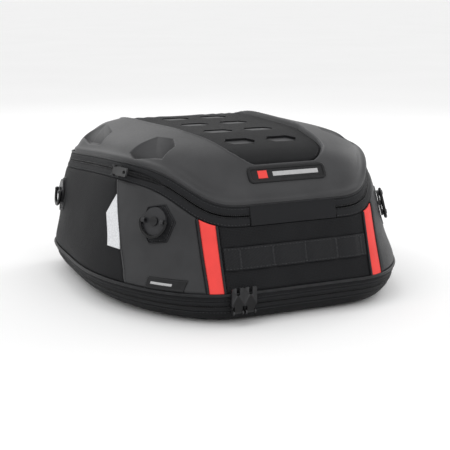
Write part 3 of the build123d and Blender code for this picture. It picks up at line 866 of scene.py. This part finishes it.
EXPANSION_NODES = {
    "low": ("expansion_tape_lower", "expansion_teeth_lower"),
    "high": ("expansion_tape_upper", "expansion_teeth_upper"),
}


def make_base():
    turns = ALL_ROUND[::2]
    edge = tilts_of(around(turns, level_rule(EXP_LOW)))
    bottom = tilt_grid(turns, np.full(len(turns), -POLE), edge, 70)
    waves = seeded_waves(bottom, 0.11, 3) * 0.5 * MM
    cloth_piece("base_cloth", "base", "black_ballistic", bottom, waves * (bottom[..., 2] > 0.004),
                closed=True, node="base_pan")
    expansion_half("low", "base", np.linspace(EXP_LOW, EXP_Z - ZIP_GROOVE, 6), EXP_Z - ZIP_GROOVE)
    stitches("base_seam_stitches", "base", [closed_line(level_rule(EXP_LOW - 1.5 * MM), 0.1 * MM)])
    floor_grid = tilt_grid(turns[::2], np.full(len(turns[::2]), -POLE), edge[::2], 40)
    inward(cloth_piece("base_lining", "base", "lining", floor_grid, -3.2 * MM, closed=True, sink=0))


def make_gusset():
    share = np.linspace(0, 1, 19)
    low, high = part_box("expansion_gusset")[0][2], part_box("expansion_gusset")[1][2]
    grid = level_rings(low + (high - low) * share, 3)
    folds = -4.6 * MM + 1.3 * MM * np.abs((share * 3) % 2 - 1)[:, None]
    folds = folds + seeded_waves(grid, 0.05, 8) * 0.3 * MM
    gusset = cloth_piece("gusset_cloth", None, "black_smooth", grid, folds, closed=True, sink=0)
    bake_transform(gusset)
    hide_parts("expansion_gusset")


def make_base_band():
    expansion_half("high", "shell", np.linspace(EXP_Z + ZIP_GROOVE, EXP_HIGH, 6), EXP_Z + ZIP_GROOVE)
    grid = level_rings(np.linspace(EXP_HIGH, SEAM_Z - 0.5 * MM, 10))
    puff = 0.7 * MM * np.sin(np.linspace(0, np.pi, 10))[:, None] + 0.3 * MM
    cloth_piece("base_band_cloth", "shell", "black_ballistic", grid, puff, closed=True, node="base_band")
    centre = lift(around(ALL_ROUND, level_rule(SEAM_Z)), 0.9 * MM)
    tube("seam_piping_cord", "shell", "piping", centre, 1.6 * MM, True, node="seam_piping")
    stitches("base_band_stitches", "shell", [closed_line(level_rule(EXP_HIGH + 1.2 * MM), 0.5 * MM)])


# ------------------------------------------------------------------ walls
# The grey patch's front edge as (z, y) going up, and the reflector's corners as (y, z), all in mm.
PATCH_EDGE = [(28, -84), (43, -76), (63, -58), (82, -47), (109, -35), (123, -28)]
REFLECTOR = [(-40, 60), (-61, 60), (-36, 111), (-24, 90)]
FRONT_CORNER = 88 * MM
EDGE_Z, EDGE_Y = np.array(PATCH_EDGE).T * MM
ABOVE_SEAM = level_rule(SEAM_Z + 1.4 * MM)
UNDER_ZIP = zip_rule(-0.2 * MM)
STRIP_EDGE = STRIP_OUT + 2.4 * MM
SIDE_X, REAR_Y, FRONT_Y = -0.15, -0.15, 0.155       # where searches for a wall start
SEAM_SINK = 2.2 * MM                                # how far a wall's border is turned in


def patch_edge(z):
    return float(np.interp(z, EDGE_Z, EDGE_Y))


def along_patch_edge(rule):
    return turn_at_edge(patch_edge, rule)


def puffed(grid, cap, rim=0.5 * MM, edge=3.5 * MM, seed=1):
    """Height of a sewn panel: simulated puff, sinking to its seams, with slight waviness."""
    near = pocket(edge_distance(grid), edge)
    return rim * near + blown(grid, cap) + seeded_waves(grid, 0.07, seed) * 0.6 * MM * near


def make_walls():
    for hand, sign in (("left", -1), ("right", 1)):
        turn = (lambda grid: grid) if sign < 0 else mirrored
        patch = turn(wall_grid(along_patch_edge, at_x(-STRIP_EDGE, True), ABOVE_SEAM, UNDER_ZIP, 70, 70))
        height = puffed(patch, 1.4 * MM, 1.2 * MM, 2.5 * MM, 5)
        cloth_piece(f"side_patch_cloth_{hand}", "shell", "grey_patch", patch, height, SEAM_SINK,
                    node=f"side_patch_{hand}")
        side = turn(wall_grid(at_x(-FRONT_CORNER, False), along_patch_edge, ABOVE_SEAM, UNDER_ZIP, 64, 110))
        height = puffed(side, 1.6 * MM, 0.5 * MM, 4 * MM, 7)
        under = pocket(inside_polygon(side[..., 1] / MM, side[..., 2] / MM, REFLECTOR[::-1]) + 5, 4)
        height = height * (1 - under) + 0.3 * MM * under
        cloth_piece(f"side_cloth_{hand}", "shell", "black_ballistic", side, height, SEAM_SINK,
                    node=f"side_wall_{hand}")
        stitches(f"patch_stitches_{hand}", "shell", [lift(patch[:, 3 if sign < 0 else -4], 1.5 * MM)])
        make_reflector(hand, turn)
        make_strip(hand, sign)
    make_rear_wall()
    front = wall_grid(at_x(FRONT_CORNER, False), at_x(-FRONT_CORNER, False), ABOVE_SEAM, UNDER_ZIP, 60, 110)
    cloth_piece("front_cloth", "shell", "black_ballistic", front, puffed(front, 1.2 * MM, seed=11),
                SEAM_SINK, node="front_wall")
    rules = [blend_rule(ABOVE_SEAM, UNDER_ZIP, s) for s in np.linspace(0.02, 0.98, 60)]
    for i, x in enumerate((-FRONT_CORNER, FRONT_CORNER)):
        seam = np.array([around(np.array([turn_at_x(x, rule, False)]), rule)[0] for rule in rules])
        tube(f"front_corner_piping_{i}", "shell", "piping", lift(seam, 0.4 * MM), 1.1 * MM, False)
    make_lining_walls()


def make_reflector(hand, turn):
    low_left, low_right, high_right, high_left = [places(SIDE_X, y * MM, z * MM) for y, z in REFLECTOR]
    share = np.linspace(0, 1, 16)[:, None]
    low = low_left * (1 - share) + low_right * share
    high = high_left * (1 - share) + high_right * share
    grid = turn(four_sided(low, high, 40, 0))
    height = 1.2 * MM + 0.25 * MM * pocket(edge_distance(grid), 1.5 * MM)
    cloth_piece(f"reflector_film_{hand}", "shell", "reflector", grid, height, 1.0 * MM,
                node=f"reflector_{hand}")


def upright(x):
    """Line up the rear wall with a fixed x, from the seam to the zip."""
    rules = [blend_rule(ABOVE_SEAM, UNDER_ZIP, s) for s in np.linspace(0, 1, 80)]
    return np.array([meet(np.array([[x, -0.14, 0.06]]), 1, rule)[0] for rule in rules])


def make_strip(hand, sign):
    """Coral band up a rear corner, with a cord down each side."""
    xs = np.sort(np.linspace(STRIP_IN, STRIP_OUT, 15) * sign)
    grid = np.stack([upright(x) for x in xs], axis=1)
    crown = np.sin(np.linspace(0.12, np.pi - 0.12, 15))[None, :] ** 0.5
    height = 0.6 * MM + 0.9 * MM * crown + seeded_waves(grid, 0.03, 4) * 0.15 * MM
    cloth_piece(f"red_band_{hand}", "shell", "red_strip", grid, height, node=f"red_strip_{hand}")
    for name, x in (("inner", STRIP_IN - 1.1 * MM), ("outer", STRIP_OUT + 1.1 * MM)):
        node = "strip_piping" if (hand, name) == ("left", "inner") else None
        centre = lift(upright(x * sign), 0.8 * MM)
        tube(f"strip_cord_{name}_{hand}", "shell", "piping", centre, 1.2 * MM, False, node=node)


TACKS = [-62, -27, 8, 43, 72]


def make_rear_wall():
    inner = STRIP_IN - 2.2 * MM
    left, right = at_x(-inner, True), at_x(inner, True)
    parts = (("low", ABOVE_SEAM, level_rule(WEB_LOW + 1 * MM), 26, 21, "rear_wall"),
             ("high", level_rule(WEB_HIGH - 1 * MM), UNDER_ZIP, 34, 22, None))
    for name, low, high, rows, seed, node in parts:
        grid = wall_grid(left, right, low, high, rows, 120)
        cloth_piece(f"rear_cloth_{name}", "shell", "black_ballistic", grid,
                    puffed(grid, 1.4 * MM, 0.5 * MM, 3 * MM, seed), SEAM_SINK, node=node)
    behind = wall_grid(left, right, level_rule(WEB_LOW), level_rule(WEB_HIGH), 12, 60)
    cloth_piece("rear_cloth_behind_webbing", "shell", "black_ballistic", behind, 0.1 * MM, 0.5 * MM)
    xs = np.linspace(-WEB_HALF, WEB_HALF, 160)
    grid = np.array([fixed_point(places(xs, REAR_Y, z), 1) for z in np.linspace(WEB_LOW, WEB_HIGH, 16)])
    stops = np.array([-WEB_HALF] + [t * MM for t in TACKS] + [WEB_HALF])
    bow = pocket(np.abs(xs[:, None] - stops[None]).min(axis=1), 9 * MM)[None, :]
    rim = np.sin(np.linspace(0.25, np.pi - 0.25, 16))[:, None] ** 0.3
    height = 0.7 * MM + 0.5 * MM * rim + 1.3 * MM * bow
    cloth_piece("webbing_strap", "shell", "webbing", grid, height, 1.0 * MM, node="webbing_row")
    rows = []
    for tack in TACKS:
        ends = np.array([tack - 1.3, tack + 1.3]) * MM
        for z in np.arange(WEB_LOW + 2 * MM, WEB_HIGH - 2 * MM, 1.25 * MM):
            rows.append(lift(fixed_point(places(ends, REAR_Y, z), 1), 1.25 * MM))
    stitches("webbing_bar_tacks", "shell", rows, 3 * MM, 2.8 * MM, "webbing_tacks")
    hems = [lift(fixed_point(places(xs, REAR_Y, z), 1), height[8] - 0.1 * MM)
            for z in (WEB_LOW + 1.6 * MM, WEB_HIGH - 1.6 * MM)]
    stitches("webbing_hem_stitches", "shell", hems)


def make_lining_walls():
    low, high = level_rule(25 * MM), zip_rule(-1.5 * MM)
    grid = np.array([around(ALL_ROUND[::4], blend_rule(low, high, s)) for s in np.linspace(0, 1, 30)])
    height = -3.4 * MM + seeded_waves(grid, 0.08, 15) * 0.5 * MM
    inward(cloth_piece("wall_lining", "shell", "lining", grid, height, closed=True, sink=-2.4 * MM))


def make_tag():
    (_, low_y, low_z), (_, high_y, high_z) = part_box("blank_tag")
    ys = np.linspace(high_y, low_y, 70)
    grid = four_sided(places(-0.13, ys, low_z), places(-0.13, ys, high_z), 26, 0)
    near = edge_distance(grid)
    height = 1.5 * MM + 0.5 * MM * pocket(near, 1 * MM) + 0.45 * MM * hump(near, 1.5 * MM, 0.5 * MM)
    cloth_piece("blank_rubber_tag", "shell", "label", grid, height, 1.4 * MM, node="blank_tag")
    rows, columns = grid.shape[:2]
    bar = grid[rows // 2 - 3:rows // 2 + 3, columns // 7:columns * 5 // 7]
    cloth_piece("tag_plain_bar", "shell", "print", bar, 2.15 * MM, 0.3 * MM)


# ------------------------------------------------------------------ main zip, hinge and handle
MID = ZIP_BAND / 2
GARAGE = (-0.094, -0.020)      # leaf-shaped opening of the lips on the left side, y range
GARAGE_GAP = 2.9 * MM
LIP_BACK = 0.45 * MM           # from the zip's middle to a closed lip
COIL_BACK = 0.95 * MM          # and to a coil


def band_turns(count):
    first = turn_at_x(HINGE_HALF, zip_rule(MID), True)
    last = turn_at_x(-HINGE_HALF, zip_rule(MID), True)
    first = first - 2 * math.pi if first > math.pi else first
    return np.linspace(first, last, count)


def lips(turns):
    """How far each lip of the zip stands back from the middle, for every direction."""
    points = around(turns, zip_rule(MID))
    share = np.clip((points[:, 1] - GARAGE[0]) / (GARAGE[1] - GARAGE[0]), 0, 1)
    leaf = np.sin(np.pi * share) ** 0.8 * (points[:, 0] < 0)
    return LIP_BACK + GARAGE_GAP * leaf


def shifted(shifts):
    return lambda y: zip_curve(y) + shifts


def make_main_zip():
    turns = band_turns(1000)
    back = lips(turns)
    rows = 9
    shares = np.linspace(0, 1, rows)
    bulge = np.sin(np.pi * shares**0.8)[:, None]
    lips_up = np.linspace(0, 1, rows)[:, None] ** 2 * (back > 0.6 * MM) * 0.7 * MM
    low = np.array([around(turns, shifted((MID - back) * s)) for s in shares])
    height = -0.7 * MM + 1.0 * MM * bulge + lips_up
    cloth_piece("main_zip_low_lip", "shell", "black_smooth", low, height, 1.4 * MM,
                node="main_zip_tape_lower")
    high = np.array([around(turns, shifted(MID + back + (ZIP_BAND - MID - back) * s)) for s in shares])
    height = -0.7 * MM + 1.0 * MM * bulge[::-1] + lips_up[::-1]
    cloth_piece("main_zip_high_lip", "lid", "black_smooth", high, height, 1.4 * MM,
                node="main_zip_tape_upper")
    inside = np.flatnonzero(back > 0.5 * MM)
    leaf = turns[inside[0]:inside[-1] + 1]
    half = GARAGE_GAP + 1.2 * MM
    backing = np.array([around(leaf, zip_rule(MID + s * half)) for s in np.linspace(-1, 1, 7)])
    cloth_piece("main_zip_backing", "shell", "black_smooth", backing, -1.0 * MM, 0.3 * MM)
    for name, body, shift, node in (("main_coil_low", "shell", MID - COIL_BACK, "main_zip_teeth_lower"),
                                    ("main_coil_high", "lid", MID + COIL_BACK, "main_zip_teeth_upper")):
        coil(name, body, lift(around(turns, zip_rule(shift)), -0.35 * MM), node)
    for name, body, shift in (("low", "shell", 1.7 * MM), ("high", "lid", ZIP_BAND - 2.6 * MM)):
        stitches(f"main_zip_stitches_{name}", body, [around(turns, zip_rule(shift))])


def make_hinge():
    grid = wall_grid(at_x(-HINGE_HALF, True), at_x(HINGE_HALF, True), zip_rule(0.2 * MM),
                     zip_rule(ZIP_BAND - 0.2 * MM), 26, 90)
    share = np.linspace(0, 1, 26)[:, None]
    height = 0.4 * MM + 0.8 * MM * np.sin(np.pi * share) + seeded_waves(grid, 0.05, 31) * 0.2 * MM
    flap = cloth_piece("hinge_cloth", None, "black_smooth", grid, height, 1.6 * MM)
    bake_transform(flap)
    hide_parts("lid_hinge_fabric")


def make_handle():
    """Webbing loop across the front wall, its ends sewn down."""
    (low_x, _, low_z), (high_x, high_y, high_z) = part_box("carry_handle")
    pad, thick, count = 20 * MM, 1.4 * MM, 120
    xs = np.linspace(low_x, high_x, count)
    free = np.clip((high_x - pad - np.abs(xs)) / (high_x - pad), 0, 1)
    wall = fixed_point(places(xs, FRONT_Y, (low_z + high_z) / 2), 1)
    bow = (high_y - 0.3 * MM - wall[:, 1].max()) * np.sin(free * np.pi / 2) ** 1.4
    half = (high_z - low_z) / 2
    section = [(-1, -1), (-1.06, 0), (-1, 1), (-0.5, 1.15), (0, 1.2), (0.5, 1.15), (1, 1), (1.06, 0),
               (1, -1), (0, -1.05)]
    points = []
    for centre, rise in zip(wall, bow):
        y = centre[1] + 0.4 * MM + thick + rise - (thick * 1.2 if rise > 0 else 0)
        points += [(centre[0], y + thick * v, centre[2] + half * u) for u, v in section]
    uv = [(x, u * half) for x in xs for u, v in section]
    faces = rod_faces(count, len(section))
    make_object("handle_webbing", points, faces, "webbing", "shell", uv, "carry_handle")
    boxes = []
    z0, z1 = low_z + 3 * MM, high_z - 3 * MM
    share = np.linspace(0, 1, 20)
    for sign in (-1, 1):
        x0, x1 = sign * (high_x - 3 * MM), sign * (high_x - pad + 3 * MM)
        corners = [(x0, z0), (x1, z0), (x1, z1), (x0, z1)]
        for i, j in ((0, 1), (1, 2), (2, 3), (3, 0), (0, 2), (3, 1)):
            a, b = corners[i], corners[j]
            x, z = a[0] + (b[0] - a[0]) * share, a[1] + (b[1] - a[1]) * share
            line = fixed_point(places(x, FRONT_Y, z), 1)
            line[:, 1] = wall[:, 1].mean() + 3.4 * MM
            boxes.append(line)
    stitches("handle_box_stitches", "shell", boxes)


# ------------------------------------------------------------------ lid
# All in mm: the top panel's outline as (y, half width), its corner, and its two columns of slots.
PANEL_SIDE = [(-121, 40), (-106, 51), (-90, 55), (-59, 60), (-31, 66), (50, 74), (113, 77), (138, 77)]
PANEL_CORNER = 9.0
# The recess it lies in: depth at the rear end, how much more ahead, and where and how long the ramp is.
RECESS_REAR, RECESS_MORE, RECESS_FROM, RECESS_RAMP = 1.6, 1.8, -112, 50
SLOT_X, SLOT_ROWS, SLOT_HALF, SLOT_CUT = 23.5, (-71, -18, 43, 99), (17, 10.5), 6.0
# Scoops in the lid's shoulders: corners as (distance from the middle, y), upper and lower edges, and
# the deepest cut.
SCOOPS = [
    ([(126, -28), (93, -23), (84, -44), (92, -67), (110, -76), (127, -46)], (0, 1), (3, 4), 11.0),
    ([(126, 132), (99, 120), (104, 95), (112, 62), (132, 45), (135, 80)], (0, 1), (3, 4), 10.0),
]

SCOOP_FACE, SCOOP_FLOOR = 0.7, 0.3      # shares of a scoop's width
# Moulded relief: place and width of the heavier lip at the rear corners, along y, then of the lip and the
# groove above the lid's lower edge, and of the soft and the crisp ridge round the panel.
REAR_LIP, LIP, GROOVE, SOFT_RIDGE, CRISP_RIDGE = (-105, 32), (4, 3), (12, 5), (0, 10), (0, 1.7)
LINING_DEPTH = 7.0 * MM                 # keeps the lining below the moulding


def panel_inset(x, y):
    """How far inside the top panel's outline a place is, in mm (negative outside)."""
    ys, halves = np.array(PANEL_SIDE, float).T
    side = np.interp(y, ys, halves) - np.abs(x)
    end = np.minimum(y - ys[0], ys[-1] - y)
    inner = np.minimum(side, end)
    corner = PANEL_CORNER
    bent = corner - np.hypot(np.clip(corner - side, 0, None), np.clip(corner - end, 0, None))
    return np.where((side < corner) & (end < corner), bent, inner)


def panel_recess(y):
    """How deep the top panel lies in the lid, in mm."""
    return RECESS_REAR + RECESS_MORE * pocket(y - RECESS_FROM, RECESS_RAMP)


def slot_inset(x, y):
    """How far inside the nearest slot a place is, in mm."""
    best = np.full(np.shape(x), -99.0)
    half_x, half_y = SLOT_HALF
    for row in SLOT_ROWS:
        u, v = np.abs(np.abs(x) - SLOT_X), y - row
        slant = (half_x - u - (np.abs(v) / half_y) * SLOT_CUT) * 0.87
        best = np.maximum(best, np.minimum(half_y - np.abs(v), slant))
    return best


def scoop_depth(x, y):
    """Depth of the moulded scoops in mm: a steep face at the upper edges, and a floor that rises again."""
    depth = np.zeros(np.shape(x))
    for corners, upper, lower, deepest in SCOOPS:
        side = np.abs(x)
        inset = inside_polygon(side, y, corners)
        above = np.clip(inside_polygon(side, y, corners, upper), 0, None)
        below = np.clip(inside_polygon(side, y, corners, lower), 0, None)
        share = above / (above + below + 1e-6)
        profile = np.where(share < SCOOP_FACE, share / SCOOP_FACE, (1 - share) / SCOOP_FLOOR)
        depth = np.maximum(depth, deepest * profile * pocket(inset, 2.0))
    return depth


def lid_relief(points, edge):
    """Moulded relief of the lid in mm, from places in mm and the distance to its lower edge in mm."""
    x, y = points[..., 0], points[..., 1]
    corner = hump(y, *REAR_LIP)
    lip = (1.5 + 1.7 * corner) * hump(edge, *LIP) - (0.4 + 0.8 * corner) * hump(edge, *GROOVE)
    relief = 0.5 * pocket(edge, 3) + lip
    panel = panel_inset(x, y)
    out = np.clip(-panel, 0, None)
    relief = relief + 0.8 * hump(out, *SOFT_RIDGE) + 1.5 * hump(out, *CRISP_RIDGE)
    slot = slot_inset(x, y)
    shallow = 1.35 * (y > SLOT_ROWS[0] + 25)
    under = -panel_recess(y) - 1.6 + shallow * pocket(slot + 1.5, 1.2)
    inside = pocket(panel + 1.0, 1.6)
    relief = relief * (1 - inside) + under * inside
    far_corner = pocket(np.abs(x) - 92, 22) * pocket(y - 100, 30)
    return relief - scoop_depth(x, y) - 3.2 * far_corner


def make_lid():
    turns = np.linspace(0, 2 * np.pi, 960, endpoint=False)
    edge = tilts_of(around(turns, zip_rule(ZIP_BAND)))
    grid = tilt_grid(turns, edge, np.full(len(turns), POLE), 300)
    _, up = arc_lengths(grid)
    height = lid_relief(grid / MM, up / MM) * MM
    cloth_piece("lid_moulding", "lid", "eva_lid", grid, height, 2.6 * MM, closed=True, node="lid_shell")
    centre = lift(around(ALL_ROUND, zip_rule(ZIP_BAND - 0.2 * MM)), -0.1 * MM)
    tube("lid_binding_cord", "lid", "piping", centre, 1.1 * MM, True, node="lid_binding")
    turns = turns[::4]
    grid = tilt_grid(turns, edge[::4], np.full(len(turns), POLE), 70)
    height = -LINING_DEPTH + seeded_waves(grid, 0.06, 2) * 0.4 * MM
    height = height - scoop_depth(grid[..., 0] / MM, grid[..., 1] / MM) * MM
    inward(cloth_piece("lid_lining_cloth", "lid", "lining", grid, height, closed=True, sink=0,
                       node="lid_lining"))


def cut_by(obj, cutter):
    """Boolean difference, applied; both meshes are closed."""
    modifier = obj.modifiers.new("cut", "BOOLEAN")
    modifier.object = cutter
    modifier.operation = "DIFFERENCE"
    modifier.solver = "EXACT"
    apply_modifiers(obj)
    bpy.data.objects.remove(cutter)


def apply_modifiers(obj):
    depsgraph = bpy.context.evaluated_depsgraph_get()
    finished = bpy.data.meshes.new_from_object(obj.evaluated_get(depsgraph))
    obj.modifiers.clear()
    obj.data = finished


def make_top_panel():
    """Soft panel lying in the lid's recess, with two columns of slots cut through it."""
    ys, halves = np.array(PANEL_SIDE, float).T
    inset = 0.8
    rows, columns = 150, 76
    y = np.linspace(ys[0] + inset, ys[-1] - inset, rows)
    half = np.interp(y, ys, halves) - inset
    corner = PANEL_CORNER
    near = np.minimum(y - y[0], y[-1] - y)
    half = half - (corner - np.sqrt(np.clip(corner**2 - np.clip(corner - near, 0, None) ** 2, 0, None)))
    x = np.linspace(-1, 1, columns)[None] * half[:, None]
    grid = fixed_point(places(x, y[:, None], 160.0) * MM, 2)
    border = pocket(edge_distance(grid), 3 * MM)
    slot = slot_inset(grid[..., 0] / MM, grid[..., 1] / MM)
    lips_up = 0.1 * hump(np.clip(-slot, 0, None), 0, 3.5)
    height = (0.1 + 0.6 * border + lips_up - panel_recess(grid[..., 1] / MM)) * MM
    height = height + seeded_waves(grid, 0.05, 6) * 0.15 * MM
    points = lift(grid, height)
    faces = grid_faces(rows, columns, False)
    uv = (grid[..., :2] + 0.2).reshape(-1, 2)
    panel = make_object("slotted_panel", points.reshape(-1, 3), faces, "panel", "lid", uv)
    solid = panel.modifiers.new("thick", "SOLIDIFY")
    solid.thickness = 1.7 * MM
    solid.offset = -1
    apply_modifiers(panel)
    half_x, half_y = SLOT_HALF
    end = half_x - SLOT_CUT
    outline = [(-half_x, 0), (-end, -half_y), (end, -half_y), (half_x, 0), (end, half_y), (-end, half_y)]
    verts, faces = [], []
    for row in SLOT_ROWS:
        for middle in (-SLOT_X, SLOT_X):
            start = len(verts)
            for z in (130, 190):
                verts += [((middle + a) * MM, (row + b) * MM, z * MM) for a, b in outline]
            faces += [tuple(start + i for i in range(6))[::-1], tuple(start + 6 + i for i in range(6))]
            faces += (grid_faces(2, 6, True) + start).tolist()
    cut_by(panel, new_object("slot_cutters", verts, faces))
    panel.data.set_sharp_from_angle(angle=math.radians(40))
    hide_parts("top_panel")
    rim = [grid[2:-2, 2], grid[2:-2, -3]]
    rim = [lift(line, (0.6 - panel_recess(line[:, 1] / MM)) * MM) for line in rim]
    stitches("panel_stitches", "lid", rim)


def rounded_rectangle(half_x, half_z, radius, steps=8):
    corners = []
    for sx, sz, start in ((1, 1, 0), (-1, 1, 90), (-1, -1, 180), (1, -1, 270)):
        for k in range(steps + 1):
            angle = math.radians(start + 90 * k / steps)
            corners.append((sx * (half_x - radius) + radius * math.cos(angle),
                            sz * (half_z - radius) + radius * math.sin(angle)))
    return corners


LABEL_Y = -0.125        # where searches for the lid's rear face start


def rear_patch(name, material, middle, half_x, half_z, height, columns=60, rows=20, node=None):
    """Small rectangular piece on the rear face of the lid."""
    xs = np.linspace(-half_x, half_x, columns) + middle[0]
    low, high = (places(xs, LABEL_Y, middle[1] + half_z * sign) for sign in (-1, 1))
    grid = four_sided(low, high, rows, 1)
    height = height + 0.2 * MM * pocket(edge_distance(grid), 0.8 * MM)
    cloth_piece(name, "lid", material, grid, height, 0.8 * MM, node=node)


def make_badge():
    (_, _, low_z), (half_x, _, high_z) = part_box("badge_rim")
    z, half_z = (low_z + high_z) / 2, (high_z - low_z) / 2
    outline = rounded_rectangle(half_x - 1.5 * MM, half_z - 1.5 * MM, 3 * MM)
    path = np.array([(x, LABEL_Y, z + up) for x, up in outline])
    path = evenly(np.concatenate([path, path[:1]]), 1.2 * MM)[:-1]
    centre = lift(fixed_point(path, 1), 1.5 * MM)
    tube("badge_frame", "lid", "label", centre, 1.7 * MM, True, 0.8, "badge_rim")
    rear_patch("badge_blank", "label", (0, z), half_x - 2.2 * MM, half_z - 2.2 * MM, 1.5 * MM,
               node="badge_plate")
    rear_patch("badge_bar", "print", (9 * MM, z), 25 * MM, 1.9 * MM, 1.9 * MM)
    rear_patch("badge_chip", "red_strip", (-27 * MM, z), 5.0 * MM, 3.4 * MM, 1.9 * MM, 20, 14)


NET_HALF_X = 83 * MM      # keeps the net clear of the scoops
NET_POWER = 3.2           # how square its outline is


def make_net():
    """Net pocket under the lid, a diagonal mesh inside an elastic hem."""
    (low_x, low_y, z), (high_x, high_y, _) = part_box("lid_mesh_pocket")
    pitch = 7 * MM
    middle = ((low_x + high_x) / 2, (low_y + high_y) / 2)
    half = (min((high_x - low_x) / 2, NET_HALF_X), (high_y - low_y) / 2)
    steps = int((half[0] + half[1]) / pitch) + 2
    points, index, faces = [], {}, []
    for i in range(-2 * steps, 2 * steps):
        for j in range(-2 * steps, 2 * steps):
            x, y = (i + j) * pitch / 2, (i - j) * pitch / 2
            if (abs(x) / half[0]) ** NET_POWER + (abs(y) / half[1]) ** NET_POWER < 1:
                index[i, j] = len(points)
                points.append((middle[0] + x, middle[1] + y, z))
    for (i, j), a in index.items():
        ring = [a, index.get((i + 1, j)), index.get((i + 1, j + 1)), index.get((i, j + 1))]
        if None not in ring:
            faces.append(tuple(ring))
    net = make_object("pocket_net", points, faces, "mesh", "lid")
    wires = net.modifiers.new("wires", "WIREFRAME")
    wires.thickness = 0.9 * MM
    apply_modifiers(net)
    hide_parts("lid_mesh_pocket")
    angle = np.linspace(0, 2 * np.pi, 160, endpoint=False)
    power = 2 / NET_POWER
    c, s = np.cos(angle), np.sin(angle)
    hem = places(middle[0] + half[0] * np.sign(c) * np.abs(c) ** power,
                 middle[1] + half[1] * np.sign(s) * np.abs(s) ** power, z)
    tube("pocket_hem", "lid", "piping", hem, 1.6 * MM, True)


# ------------------------------------------------------------------ lashing ring patches and hardware
PATCH_R, PATCH_TURN = 21 * MM, math.radians(12)       # six-sided patch
PATCH_SHIFT = (2.0, -2.5)                             # its middle from the rivet, across and up, in mm
RIM_SHARE, SEAM_SHARE = 0.985, 0.88                   # where its rim and its stitches run


def make_ring_patches():
    joints = {joint["name"]: joint for joint in frame["joints"]}
    for place in ("rear_left", "rear_right", "front_left", "front_right"):
        joint = joints[f"ring_swivel_{place}"]
        centre, normal = np.array(joint["pos_m"]), np.array(joint["axis"])
        across = np.cross([0, 0, 1.0], normal)
        across /= np.linalg.norm(across)
        upward = np.cross(normal, across)
        columns, rows = 96, 16
        angle = np.linspace(0, 2 * np.pi, columns, endpoint=False)
        sector = (angle - PATCH_TURN) % (np.pi / 3) - np.pi / 6
        hexagon = PATCH_R * math.cos(np.pi / 6) / np.cos(sector)
        middle = centre + (across * PATCH_SHIFT[0] + upward * PATCH_SHIFT[1]) * MM
        share = np.linspace(1, 0.03, rows)[:, None]
        flat = middle + share[..., None] * hexagon[None, :, None] * (
            across * np.cos(angle)[None, :, None] + upward * np.sin(angle)[None, :, None])
        grid = onto_skin(flat)
        lifted = (1.2 if "rear" in place else 0.5) * MM
        height = lifted + 0.5 * MM * pocket((1 - share) * 20 * MM, 2 * MM) * np.ones((1, columns))
        cloth_piece(f"ring_patch_cloth_{place}", "shell", "webbing", grid, height, 1.0 * MM, closed=True,
                    node=f"ring_patch_{place}")
        rim = lift(onto_skin(middle + RIM_SHARE * (flat[0] - middle)), lifted + 0.3 * MM)
        tube(f"ring_patch_rim_{place}", "shell", "piping", rim, 0.8 * MM, True)
        ring = lift(onto_skin(middle + SEAM_SHARE * (flat[0] - middle)), lifted + 0.5 * MM)
        stitches(f"ring_patch_stitches_{place}", "shell", [np.concatenate([ring, ring[:1]])], 2.8 * MM,
                 2.0 * MM)


def paint_nodes():
    """Finishes of the frame's own pieces that stay in view."""
    kept = {"grip_pads": "grip", "base_board": "board", "ring_rivets": "metal"}
    for node in nodes:
        if node.startswith("ring_swivel"):
            kept[node] = "hardware"
        if node.startswith("ring_bail") or node.endswith(("_slider", "_puller")):
            kept[node] = "metal"
    for node, material in kept.items():
        nodes[node].data.materials.clear()
        nodes[node].data.materials.append(MATERIALS[material])


for step in (make_base, make_gusset, make_base_band, make_walls, make_tag, make_main_zip, make_hinge,
             make_handle, make_lid, make_top_panel, make_badge, make_net, make_ring_patches, paint_nodes):
    step()

FLOOR_HALF = 60
corners = [(FLOOR_HALF * x, FLOOR_HALF * y, 0) for x, y in ((-1, -1), (1, -1), (1, 1), (-1, 1))]
floor = new_object("floor", corners, [(0, 1, 2, 3)])
floor_paint = Paint("floor", (0.93, 0.93, 0.93), 0.9)
floor_paint.vary(floor_paint.noise(400), 0.99, 1.01)
floor.data.materials.append(floor_paint.finish())
